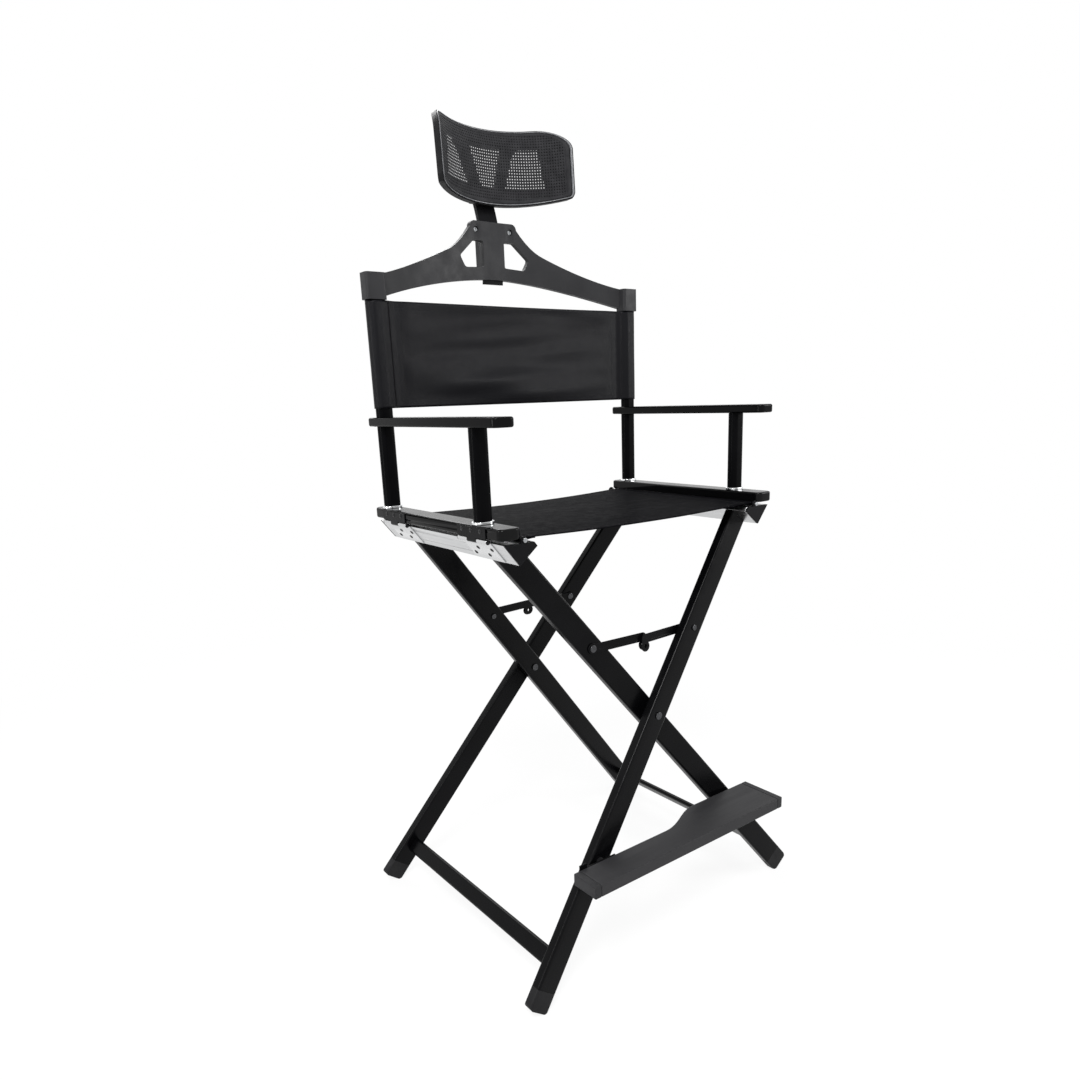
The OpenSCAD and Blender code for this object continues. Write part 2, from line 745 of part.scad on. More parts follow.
module hinge_pins(right) {
    color("#b9bbbe") mirror_when(right, [1, 0, 0]) for (start = hinge_starts()) translate([-hinge_x, 0, hinge_z]) {
        along_y(hinge_pin_radius, start - pin_head_height, start + hinge_length + pin_head_height);
        along_y(knuckle_radius, start - pin_head_height, start);
        along_y(knuckle_radius, start + hinge_length, start + hinge_length + pin_head_height);
    }
}
module hinge_pins_left() { hinge_pins(false); }
module hinge_pins_right() { hinge_pins(true); }

// Leaf screws, square to the slanted face
module at_leaf_screws() {
    for (start = hinge_starts(), share = leaf_screw_shares)
        translate([0, start + share[0] * hinge_length, pivot_height]) in_slope()
            translate([-half_width, 0, leg_upper_length + bar_outer_height - share[1] * leaf_width]) rotate([0, 90, 0]) children();
}
module leaf_screw_shanks(r) {
    at_leaf_screws() translate([0, 0, -leaf_thickness - overrun]) cylinder(r = r, h = screw_length + overrun);
}
module leaf_screws(right) {
    color("#2a2a2c") mirror_when(right, [1, 0, 0]) at_leaf_screws() {
        translate([0, 0, -leaf_thickness]) cylinder(r = screw_radius, h = screw_length);
        translate([0, 0, -leaf_thickness - screw_head_height]) cylinder(r = screw_head_radius, h = screw_head_height);
    }
}
module leaf_screws_left() { leaf_screws(false); }
module leaf_screws_right() { leaf_screws(true); }

// Rail screws, square to the rail's outer face
module at_rail_screws() {
    for (start = hinge_starts(), share = rail_screw_shares)
        translate([-rail_outer, start + share * hinge_length, rail_bottom + rail_thickness * rail_screw_height_share])
            rotate([0, 90, 0]) children();
}
module rail_screw_shanks(r) {
    at_rail_screws() translate([0, 0, -leaf_thickness - overrun]) cylinder(r = r, h = screw_length + overrun);
}
module rail_screws(right) {
    color("#2a2a2c") mirror_when(right, [1, 0, 0]) at_rail_screws() {
        translate([0, 0, -leaf_thickness]) cylinder(r = screw_radius, h = screw_length);
        translate([0, 0, -leaf_thickness - screw_head_height]) cylinder(r = screw_head_radius, h = screw_head_height);
    }
}
module rail_screws_left() { rail_screws(false); }
module rail_screws_right() { rail_screws(true); }

// Side frames
module rail(right) {
    color("#0e0e0f") mirror_when(right, [1, 0, 0]) difference() {
        translate([-side_x, side_setback, rail_bottom]) linear_extrude(height = rail_thickness)
            round_rect(rail_width, rail_length, rail_corner);
        rail_screw_shanks(screw_radius + skin);
    }
}
module rail_left() { rail(false); }
module rail_right() { rail(true); }

module at_posts(right) {
    for (y = [front_post_y, rear_post_y]) translate([right ? side_x : -side_x, y, 0]) children();
}

module post_flanges(right) {
    color("#c9cbce") at_posts(right) translate([0, 0, rail_top]) linear_extrude(height = flange_height) difference() {
        stadium(post_width + 2 * flange_rim, post_thickness + 2 * flange_rim);
        stadium(post_width, post_thickness);
    }
}
module post_flanges_left() { post_flanges(false); }
module post_flanges_right() { post_flanges(true); }

module post(x, y, top) {
    color("#1b1b1d") translate([x, y, rail_top]) linear_extrude(height = top - rail_top) difference() {
        stadium(post_width, post_thickness);
        stadium(post_width - 2 * post_wall, post_thickness - 2 * post_wall);
    }
}
module front_post_left() { post(-side_x, front_post_y, arm_height); }
module front_post_right() { post(side_x, front_post_y, arm_height); }
module rear_post_left() { post(-side_x, rear_post_y, cap_bottom + socket_depth - post_top_gap); }
module rear_post_right() { post(side_x, rear_post_y, cap_bottom - clearance); }

module arm(right) {
    color("#0e0e0f") translate([right ? side_x : -side_x, 0, arm_height]) linear_extrude(height = arm_thickness) difference() {
        union() {
            translate([0, side_setback]) round_rect(rail_width, arm_length, rail_corner);
            translate([0, rear_post_y]) stadium(post_width + 2 * arm_boss_wall, post_thickness + 2 * arm_boss_wall);
        }
        translate([0, rear_post_y]) stadium(post_width, post_thickness);
    }
}
module arm_left() { arm(false); }
module arm_right() { arm(true); }

// Seat sling: sewn sleeves round the rods and a sagging panel between
module seat_sling() {
    color("#232327") translate([0, bar_front + bar_cap_thickness + clearance + sling_depth, 0]) rotate([90, 0, 0])
        linear_extrude(height = sling_depth, $fn = 180) difference() {
            union() {
                for (side = [-1, 1]) translate([side * rod_x, rod_z]) circle(r = sleeve_radius, $fn = 32);
                intersection() {
                    translate([0, sling_top - sling_sag + sling_radius]) difference() {
                        circle(r = sling_radius + cloth_thickness / 2);
                        circle(r = sling_radius - cloth_thickness / 2);
                    }
                    translate([-rod_x, sling_top - sling_sag - sleeve_radius]) square([2 * rod_x, sling_sag + 2 * sleeve_radius]);
                }
            }
            for (side = [-1, 1]) translate([side * rod_x, rod_z]) circle(r = rod_radius + clearance, $fn = 32);
        }
}

// Back canvas: sleeves round the rear posts, double hems, and a slack panel
module back_canvas() {
    color("#232327") translate([0, rear_post_y, canvas_top - canvas_height]) linear_extrude(height = canvas_height, $fn = 120) difference() {
        union() {
            for (side = [-1, 1]) {
                translate([side * side_x, 0])
                    stadium(post_width + 2 * (canvas_clear + cloth_thickness), post_thickness + 2 * (canvas_clear + cloth_thickness));
                translate([side * (side_x - sleeve_width / 2) - sleeve_width / 2, -cloth_thickness]) square([sleeve_width, 2 * cloth_thickness]);
            }
            intersection() {
                translate([0, canvas_slack - canvas_radius]) difference() {
                    circle(r = canvas_radius + cloth_thickness / 2);
                    circle(r = canvas_radius - cloth_thickness / 2);
                }
                translate([-side_x + sleeve_width - overrun, -cloth_thickness])
                    square([2 * (side_x - sleeve_width + overrun), canvas_slack + 2 * cloth_thickness]);
            }
        }
        for (side = [-1, 1]) translate([side * side_x, 0])
            stadium(post_width + 2 * canvas_clear, post_thickness + 2 * canvas_clear);
    }
}

// Yoke outline seen from the front
function lower_edge(x) = cap_bottom + yoke_arch * (1 - pow(abs(x) / side_x, yoke_lower_power));
function arm_edge(x) = cap_top - cap_wall + (shoulder_z - cap_top + cap_wall)
    * pow(max(0, (side_x - abs(x)) / (side_x - yoke_shoulder)), yoke_upper_power);
function upper_edge(x) = arm_edge(x) + (block_side_z - arm_edge(block_half_width))
    * pow(max(0, (block_half_width + shoulder_flare_width - abs(x)) / shoulder_flare_width), shoulder_flare_power);

module yoke_outline() {
    half = [for (i = [0 : edge_steps]) side_x - (side_x - block_half_width) * i / edge_steps];
    corner = [for (a = [block_corner_turn : block_corner_turn : 90])
        [block_half_width - block_corner * (1 - cos(a)), block_side_z + block_corner * sin(a)]];
    low = [for (i = [-edge_steps : edge_steps]) side_x * i / edge_steps];
    polygon(concat(
        [for (x = half) [x, upper_edge(x)]],
        corner, [for (i = [len(corner) - 1 : -1 : 0]) [-corner[i][0], corner[i][1]]],
        [for (i = [edge_steps : -1 : 0]) [-half[i], upper_edge(half[i])]],
        [for (x = low) [x, lower_edge(x)]]));
}

module yoke_windows() {
    for (side = [-1, 1]) polygon([for (p = window_shape_shares)
        [side * (window_inner + p[0] * (window_outer - window_inner)), window_foot + p[1] * window_height]]);
}

// Curved slot or bar of the stem between two angles, t thick and w wide
module stem_arc(w, t, low, high) {
    translate([0, stem_centre_y, stem_level]) rotate([0, -90, 0]) rotate([0, 0, -90 - low])
        rotate_extrude(angle = high + low, $fn = 180)
            translate([stem_radius - t / 2, -w / 2]) square([t, w]);
}

module yoke() {
    color("#3c3c3e") difference() {
        union() {
            difference() {
                union() {
                    intersection() {
                        translate([0, yoke_centre_y, cap_bottom])
                            cylinder(r = yoke_radius + yoke_thickness / 2, h = block_top - cap_bottom, $fn = 240);
                        translate([0, yoke_centre_y + 2 * yoke_radius, 0]) rotate([90, 0, 0])
                            linear_extrude(height = 2 * yoke_radius) yoke_outline();
                    }
                    translate([-window_inner, yoke_front - yoke_thickness, pad_low])
                        cube([2 * window_inner, block_back - yoke_front + yoke_thickness, block_top - pad_low]);
                }
                translate([0, yoke_centre_y, cap_bottom - overrun])
                    cylinder(r = yoke_radius - yoke_thickness / 2, h = block_top - cap_bottom + 2 * overrun, $fn = 240);
            }
            for (side = [-1, 1]) translate([side * side_x, rear_post_y, cap_bottom]) linear_extrude(height = cap_height)
                round_rect(2 * cap_half_width, 2 * cap_half_depth, cap_corner);
        }
        translate([0, block_back + yoke_radius, 0]) rotate([90, 0, 0]) linear_extrude(height = 2 * yoke_radius) yoke_windows();
        for (side = [-1, 1]) translate([side * side_x, rear_post_y, cap_bottom - overrun]) linear_extrude(height = socket_depth + overrun)
            stadium(post_width + 2 * clearance, post_thickness + 2 * clearance);
        stem_arc(stem_width + 2 * clearance, stem_thickness + 2 * clearance, 2 * stem_low_angle, stem_high_angle);
        for (side = [-1, 1]) translate([side * yoke_screw_x, 0, block_top - yoke_screw_drop]) {
            along_y(screw_recess_radius, yoke_front - yoke_thickness, screw_seat);
            along_y(yoke_screw_shank + skin, screw_seat - overrun, screw_seat + yoke_screw_length + overrun);
        }
    }
}

module yoke_screws() {
    color("#a9abae") for (side = [-1, 1]) translate([side * yoke_screw_x, 0, block_top - yoke_screw_drop]) {
        along_y(yoke_screw_radius, screw_seat - yoke_screw_height, screw_seat);
        along_y(yoke_screw_shank, screw_seat, screw_seat + yoke_screw_length);
    }
}

// Headrest
module headrest_stem() {
    color("#2a2a2c") difference() {
        union() {
            stem_arc(stem_width, stem_thickness, stem_low_angle, stem_high_angle);
            translate([-stem_width / 2 + skin, tilt_y, tilt_z]) rotate([0, 90, 0]) cylinder(r = stem_eye_radius, h = stem_width - 2 * skin);
        }
        translate([-stem_width, tilt_y, tilt_z]) rotate([0, 90, 0]) cylinder(r = tilt_pin_radius, h = 2 * stem_width);
    }
}

pin_half = stem_width / 2 + ear_gap + ear_thickness;
module tilt_pin() {
    color("#8f9194") translate([0, tilt_y, tilt_z]) rotate([0, 90, 0]) {
        translate([0, 0, -pin_half - clearance]) cylinder(r = tilt_pin_radius, h = 2 * (pin_half + clearance));
        for (side = [-1, 1]) translate([0, 0, side * (pin_half + clearance + pin_cap_height / 2)])
            cylinder(r = pin_cap_radius, h = pin_cap_height, center = true);
    }
}

module at_head() {
    translate([0, tilt_y, tilt_z]) rotate([-head_lean, 0, 0]) children();
}

module head_outline(inset) {
    difference() {
        intersection() {
            translate([0, head_height / 2 - head_low - head_top_corner])
                round_rect(head_width - 2 * inset, head_height + 2 * head_top_corner - 2 * inset, head_top_corner - inset);
            translate([0, head_height / 2 - head_low + head_corner])
                round_rect(head_width - 2 * inset, head_height + 2 * head_corner - 2 * inset, head_corner - inset);
            translate([0, lower_radius - head_low]) circle(r = lower_radius - inset, $fn = 240);
        }
        translate([0, head_height - head_low - head_upper_dip + upper_radius]) circle(r = upper_radius + inset, $fn = 240);
    }
}

// Half section of the hollow that the headrest curves round, upright below and flared above
module head_section(r) {
    translate([0, -head_low - overrun]) square([r, head_low + overrun + head_flare_start]);
    difference() {
        translate([0, head_flare_start]) square([head_radius + head_flare_radius, head_height - head_low - head_flare_start + overrun]);
        translate([head_radius + head_flare_radius, head_flare_start]) circle(r = head_flare_radius + head_radius - r, $fn = 240);
    }
}

module head_hollow(r) {
    translate([0, head_centre_y, 0]) rotate_extrude($fn = 180) head_section(r);
}

module head_shell(r0, r1) {
    intersection() {
        difference() {
            head_hollow(r1);
            head_hollow(r0);
        }
        translate([0, overrun, 0]) rotate([90, 0, 0]) linear_extrude(height = head_radius + overrun) children();
    }
}

module back_window() {
    low = -head_low + back_window_low;
    polygon([[-back_window_low_half, low], [back_window_low_half, low], [back_window_top_half, low + back_window_height],
             [-back_window_top_half, low + back_window_height]]);
}

module headrest_frame() {
    color("#1f1f21") at_head() difference() {
        union() {
            head_shell(rim_front + net_thickness, rim_front + net_thickness + shell_thickness) difference() {
                head_outline(0);
                back_window();
            }
            head_shell(rim_front, rim_front + rim_depth) difference() {
                head_outline(0);
                head_outline(rim_width);
            }
            for (side = [-1, 1]) {
                translate([0, arm_plate_back, 0]) rotate([90, 0, 0]) linear_extrude(height = arm_plate_thickness)
                    polygon([[side * fork_foot_inner, fork_low], [side * fork_foot_outer, fork_low],
                             [side * fork_head_outer, fork_high], [side * fork_head_inner, fork_high]]);
                difference() {
                    translate([side > 0 ? fork_head_inner : -fork_head_outer, head_centre_y, fork_pad_low])
                        cube([fork_head_outer - fork_head_inner, arm_plate_back - head_centre_y, fork_high - fork_pad_low]);
                    head_hollow(rim_front + net_thickness + shell_thickness / 2);
                }
                translate([side > 0 ? pin_half - ear_thickness : -pin_half, arm_plate_back - arm_plate_thickness, -ear_height])
                    cube([ear_thickness, -arm_plate_back + arm_plate_thickness, 2 * ear_height]);
                translate([side > 0 ? pin_half - ear_thickness : -pin_half, 0, 0]) rotate([0, 90, 0]) cylinder(r = ear_height, h = ear_thickness);
            }
            translate([-hub_half_width, arm_plate_back - arm_plate_thickness - overrun, -head_low + back_window_low / 2 - ear_height])
                cube([2 * hub_half_width, arm_plate_thickness + overrun, 2 * ear_height]);
        }
        translate([-head_width, 0, 0]) rotate([0, 90, 0]) cylinder(r = tilt_pin_radius + running, h = 2 * head_width);
        rotate([0, 90, 0]) cylinder(r = stem_eye_radius + clearance, h = stem_width + 2 * ear_gap, center = true);
    }
}

module headrest_net() {
    column = (head_width - 2 * rim_width) / net_gap_columns;
    row = (head_height - 2 * rim_width) / net_gap_rows;
    color("#2b2b2e") at_head() head_shell(head_radius, head_radius + net_thickness) difference() {
        head_outline(net_inset);
        intersection() {
            head_outline(rim_width);
            for (i = [0 : net_gap_columns - 1], j = [0 : net_gap_rows - 1])
                translate([rim_width - head_width / 2 + i * column + net_strand / 2, rim_width - head_low + j * row + net_strand / 2])
                    square([column - net_strand, row - net_strand]);
        }
    }
}

module headrest_piping() {
    color("#a8aaad") at_head() head_shell(head_radius - piping_lift, head_radius + net_thickness) difference() {
        head_outline(net_inset - piping_width);
        head_outline(net_inset);
    }
}

// Footrest board seen from above
function step_share(x) = (1 - cos(180 * min(1, max(0, (x - board_step_start) / (board_step_end - board_step_start))))) / 2;
function board_back(x) = board_narrow_back + (board_wide_back - board_narrow_back) * step_share(x);

module board_outline(x0, x1) {
    polygon(concat([[x0, board_front], [x1, board_front], [x1, board_back(x1)]],
        [for (i = [board_steps : -1 : 0]) let (x = board_step_start + (board_step_end - board_step_start) * i / board_steps) if (x > x0 && x < x1) [x, board_back(x)]],
        [[x0, board_back(x0)]]));
}

module nut_pocket() {
    translate([footrest_pivot_x, 0, footrest_pivot_z])
        along_y(nut_radius + nut_clear, board_narrow_back - nut_height - 2 * nut_clear, board_narrow_back + overrun);
}

module footrest_board() {
    color("#2a2a2c") difference() {
        translate([0, 0, board_bottom]) linear_extrude(height = board_thickness)
            board_outline(-board_width / 2 + board_cap_length, board_width / 2 - board_cap_length);
        nut_pocket();
        bracket_screw_shanks(bracket_screw_shank);
    }
}

module board_end_caps() {
    color("#1b1b1d") difference() {
        translate([0, 0, board_bottom]) linear_extrude(height = board_thickness) {
            board_outline(-board_width / 2, -board_width / 2 + board_cap_length);
            board_outline(board_width / 2 - board_cap_length, board_width / 2);
        }
        nut_pocket();
        bracket_screw_shanks(bracket_screw_shank);
    }
}

module at_bracket_screws() {
    for (x = [-bracket_left + bracket_tab_width, bracket_right - bracket_tab_width / 2])
        translate([footrest_pivot_x + x, board_narrow_back - bracket_flange / 2, board_bottom - bracket_thickness]) children();
}
module bracket_screw_shanks(r) {
    at_bracket_screws() cylinder(r = r, h = bracket_screw_length);
}

module footrest_bracket() {
    color("#161617") difference() {
        union() {
            translate([footrest_pivot_x - bracket_left, board_narrow_back, board_bottom - bracket_thickness])
                cube([bracket_left + bracket_right, bracket_thickness, board_thickness + bracket_thickness]);
            translate([footrest_pivot_x - bracket_left, board_narrow_back, board_bottom])
                cube([bracket_tab_width, bracket_thickness, board_thickness + bracket_tab_rise]);
            translate([footrest_pivot_x - bracket_left, board_narrow_back - bracket_flange, board_bottom - bracket_thickness])
                cube([bracket_left + bracket_right, bracket_flange + bracket_thickness, bracket_thickness]);
        }
        translate([footrest_pivot_x, 0, footrest_pivot_z]) along_y(footrest_bolt_radius + running, board_front, 0);
        bracket_screw_shanks(bracket_screw_shank);
    }
}

module bracket_screws() {
    color("#8f9194") at_bracket_screws() {
        cylinder(r = bracket_screw_shank, h = bracket_screw_length);
        translate([0, 0, -bracket_screw_height]) cylinder(r = bracket_screw_radius, h = bracket_screw_height);
    }
}

leg_b_front = frame_setback - outer_half + footrest_slope * splay_tan - half_thickness / splay_cos;
module footrest_pivot_bolt() {
    color("#8f9194") translate([footrest_pivot_x, 0, footrest_pivot_z]) {
        along_y(footrest_bolt_radius, board_narrow_back - nut_height - nut_clear, leg_b_front + leg_pitch);
        along_y(nut_radius, board_narrow_back - nut_height - nut_clear, board_narrow_back - nut_clear);
        difference() {
            along_y(boss_radius, board_narrow_back + bracket_thickness + clearance, leg_b_front + half_thickness);
            translate([-footrest_pivot_x, 0, -footrest_pivot_z]) at_frame(true, false) leg_bar(outer_half, 0);
        }
    }
}

// Ledge on the front leg that the board's free end comes down on
module footrest_rest() {
    color("#161617") difference() {
        union() {
            translate([rest_x - rest_width / 2, board_wide_back - rest_depth, board_bottom - clearance - rest_thickness])
                cube([rest_width, rest_depth + leg_width, rest_thickness]);
            translate([rest_x - rest_width / 2, board_wide_back, board_bottom - clearance - rest_drop])
                cube([rest_width, leg_width, rest_drop]);
        }
        at_frame(false, false) in_leg(inner_half) translate([-leg_reach, -half_thickness, -leg_reach]) cube([2 * leg_reach, leg_reach, 2 * leg_reach]);
        at_frame(false, false) in_slope() for (side = [-1, 1])
            translate([side > 0 ? rest_half : -rest_half - leg_width, -outer_leg_depth, -leg_reach]) cube([leg_width, outer_leg_depth, leg_reach]);
    }
}

front_leg_a();
rear_leg_c();
top_bar_left();
bar_end_caps_left();
lower_stretcher_right();
foot_caps_right();
brace_bolts_left();
hinge_leaves_lower_left();
hinge_pins_left();
leaf_screws_left();
sling_rod_left();
rod_screws_left();
seat_sling();
footrest_rest();
front_leg_b();
rear_leg_d();
top_bar_right();
bar_end_caps_right();
lower_stretcher_left();
foot_caps_left();
pivot_rivets();
pivot_spacers();
brace_bolts_right();
hinge_leaves_lower_right();
hinge_pins_right();
leaf_screws_right();
sling_rod_right();
rod_screws_right();
footrest_pivot_bolt();
rail_left();
post_flanges_left();
front_post_left();
rear_post_left();
arm_left();
hinge_leaves_upper_left();
rail_screws_left();
back_canvas();
rail_right();
post_flanges_right();
front_post_right();
rear_post_right();
arm_right();
hinge_leaves_upper_right();
rail_screws_right();
yoke();
yoke_screws();
headrest_stem();
tilt_pin();
headrest_frame();
headrest_net();
headrest_piping();
footrest_board();
board_end_caps();
footrest_bracket();
bracket_screws();
brace_link_front_a();
brace_link_front_b();
brace_link_rear_c();
brace_link_rear_d();
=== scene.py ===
import json
import math
import bmesh
import bpy
from mathutils import Matrix, Vector, noise


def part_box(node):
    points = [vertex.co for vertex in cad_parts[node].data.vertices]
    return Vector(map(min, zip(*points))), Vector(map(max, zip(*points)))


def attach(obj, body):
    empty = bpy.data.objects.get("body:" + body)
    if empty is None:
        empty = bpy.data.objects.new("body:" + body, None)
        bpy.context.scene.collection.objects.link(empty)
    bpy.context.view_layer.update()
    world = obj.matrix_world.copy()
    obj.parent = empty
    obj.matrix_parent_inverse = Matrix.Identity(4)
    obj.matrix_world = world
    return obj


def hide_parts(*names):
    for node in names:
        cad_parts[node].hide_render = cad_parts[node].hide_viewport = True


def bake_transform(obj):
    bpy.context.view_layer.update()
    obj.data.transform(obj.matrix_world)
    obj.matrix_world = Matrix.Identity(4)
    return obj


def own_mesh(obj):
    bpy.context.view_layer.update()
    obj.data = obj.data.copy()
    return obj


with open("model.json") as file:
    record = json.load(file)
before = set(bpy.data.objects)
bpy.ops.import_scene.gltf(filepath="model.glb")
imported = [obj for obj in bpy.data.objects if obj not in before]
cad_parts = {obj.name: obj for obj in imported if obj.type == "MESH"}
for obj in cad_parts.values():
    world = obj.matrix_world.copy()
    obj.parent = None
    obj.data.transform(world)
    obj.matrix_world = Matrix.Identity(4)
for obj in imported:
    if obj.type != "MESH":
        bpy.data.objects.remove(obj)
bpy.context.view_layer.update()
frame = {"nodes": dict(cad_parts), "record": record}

scene = bpy.context.scene
bodyOf = {node: body for body, nodes in frame["record"]["behaviour"]["bodies"].items() for node in nodes}
up = Vector((0, 0, 1))

# camera: turned to the photograph's angle, with its lens and its framing
cameraView = {
    "azimuth": -37.325, "elevation": 15.297, "roll": -1.965,
    "place": (-0.88658, -1.09220, 0.90352),
    "focal": 819.95, "centre": (563.91, 622.13), "frame": 1080.0, "sensor": 36.0,
    "near": 0.05, "far": 60,
}


def makeCamera():
    azimuth, elevation, roll = (math.radians(cameraView[key]) for key in ("azimuth", "elevation", "roll"))
    level = math.cos(elevation)
    backward = Vector((math.sin(azimuth) * level, -math.cos(azimuth) * level, math.sin(elevation)))
    side = (-backward).cross(up).normalized()
    top = side.cross(-backward)
    side, top = side * math.cos(roll) + top * math.sin(roll), top * math.cos(roll) - side * math.sin(roll)
    size, centre = cameraView["frame"], cameraView["centre"]
    data = bpy.data.cameras.new("camera")
    data.sensor_width = cameraView["sensor"]
    data.lens = cameraView["focal"] / size * cameraView["sensor"]
    data.shift_x = (size / 2 - centre[0]) / size
    data.shift_y = (centre[1] - size / 2) / size
    data.clip_start, data.clip_end = cameraView["near"], cameraView["far"]
    camera = bpy.data.objects.new("camera", data)
    turn = Matrix((side, top, backward)).transposed().to_4x4()
    camera.matrix_world = Matrix.Translation(cameraView["place"]) @ turn
    scene.collection.objects.link(camera)
    scene.camera = camera


makeCamera()
print("camera placed")


# helpers for objects and meshes
def newObject(name, mesh):
    piece = bpy.data.objects.new(name, mesh)
    scene.collection.objects.link(piece)
    return piece


def hiddenTemplate(name, mesh):
    template = newObject(name, mesh)
    template.hide_render = True
    return template


def meshFrom(name, points, faces, uvs=None):
    mesh = bpy.data.meshes.new(name)
    mesh.from_pydata([tuple(point) for point in points], [], faces)
    if uvs:
        layer = mesh.uv_layers.new(name="UVMap")
        for loop in mesh.loops:
            layer.data[loop.index].uv = uvs[loop.vertex_index]
    mesh.update()
    return mesh


def turnedOut(mesh):
    # all faces pointing outwards, shaded smooth
    shape = bmesh.new()
    shape.from_mesh(mesh)
    bmesh.ops.recalc_face_normals(shape, faces=shape.faces)
    shape.to_mesh(mesh)
    shape.free()
    mesh.shade_smooth()
    return mesh


def plainMesh(carrier):
    # what the modifiers make, as a plain mesh; the carrier goes
    graph = bpy.context.evaluated_depsgraph_get()
    graph.update()
    mesh = bpy.data.meshes.new_from_object(carrier.evaluated_get(graph), depsgraph=graph)
    bpy.data.objects.remove(carrier)
    return mesh


def finishPiece(piece, node):
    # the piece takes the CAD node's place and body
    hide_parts(node)
    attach(piece, bodyOf[node])


def evenly(low, high, count):
    return [low + (high - low) * i / (count - 1) for i in range(count)]


def bothSides(name):
    return [name + "_left", name + "_right"]


# helpers for nodes
def link(tree, output, socket):
    tree.links.new(output, socket)


def addNode(tree, kind, values=None, **settings):
    node = tree.nodes.new(kind)
    for name, setting in settings.items():
        setattr(node, name, setting)
    for name, value in (values or {}).items():
        node.inputs[name].default_value = value
    return node


def noiseOn(tree, coords, scale, detail, stretch=(1, 1, 1)):
    place = addNode(tree, "ShaderNodeMapping", {"Scale": stretch})
    grain = addNode(tree, "ShaderNodeTexNoise", {"Scale": scale, "Detail": detail})
    link(tree, coords, place.inputs["Vector"])
    link(tree, place.outputs["Vector"], grain.inputs["Vector"])
    return grain.outputs["Fac"]


def spread(tree, value, low, high, fromLow=0.35, fromHigh=0.65):
    # noise mostly stays between 0.35 and 0.65, so that is stretched to the wanted range
    node = addNode(tree, "ShaderNodeMapRange",
                   {"From Min": fromLow, "From Max": fromHigh, "To Min": low, "To Max": high})
    link(tree, value, node.inputs["Value"])
    return node.outputs["Result"]


def mixColors(tree, share, first, second):
    node = addNode(tree, "ShaderNodeMix", {"A": (*first, 1), "B": (*second, 1)}, data_type="RGBA")
    link(tree, share, node.inputs["Factor"])
    return node.outputs["Result"]


def bumpOn(tree, height, strength, depth):
    bump = addNode(tree, "ShaderNodeBump", {"Strength": strength, "Distance": depth})
    link(tree, height, bump.inputs["Height"])
    return bump


def startMaterial(name, look):
    finish = bpy.data.materials.new(name)
    finish.use_nodes = True
    shader = finish.node_tree.nodes["Principled BSDF"]
    shader.inputs["Metallic"].default_value = look.get("metallic", 0)
    shader.inputs["Specular IOR Level"].default_value = look["specular"]
    shader.inputs["Coat Weight"].default_value = look.get("coat", 0)
    shader.inputs["Coat Roughness"].default_value = look.get("coatRoughness", 0.1)
    shader.inputs["Sheen Weight"].default_value = look.get("sheen", 0)
    shader.inputs["Sheen Roughness"].default_value = 0.5
    return finish, finish.node_tree, shader


noiseDetail = {"patches": 4, "gloss": 5, "grain": 2}


def grainMaterial(name, look):
    # patches of tone, uneven gloss and a fine grain, all on the piece's own coordinates
    finish, tree, shader = startMaterial(name, look)
    coords = addNode(tree, "ShaderNodeTexCoord").outputs["Object"]
    stretch = look.get("stretch", (1, 1, 1))
    patches = noiseOn(tree, coords, look["patchScale"], noiseDetail["patches"], stretch)
    gloss = noiseOn(tree, coords, look["glossScale"], noiseDetail["gloss"], stretch)
    grain = noiseOn(tree, coords, look["grainScale"], noiseDetail["grain"], stretch)
    color = mixColors(tree, spread(tree, patches, 0, 1), look["color"], look["second"])
    bump = bumpOn(tree, grain, look["grain"], look.get("depth", 0.0002))
    link(tree, color, shader.inputs["Base Color"])
    link(tree, spread(tree, gloss, *look["roughness"]), shader.inputs["Roughness"])
    link(tree, bump.outputs["Normal"], shader.inputs["Normal"])
    return finish


# bandScale makes one wave for each thread; the swell is the cloth's slight unevenness
weave = {
    "bandScale": 0.314159, "distortion": 0.15, "depth": 0.0003,
    "hollowShade": 0.45, "patchTone": (0.1, 0.35), "patchDetail": 5,
    "glossScale": 60, "glossDetail": 3,
    "swell": 0.12, "swellDepth": 0.003, "swellScale": 14, "swellDetail": 2,
}


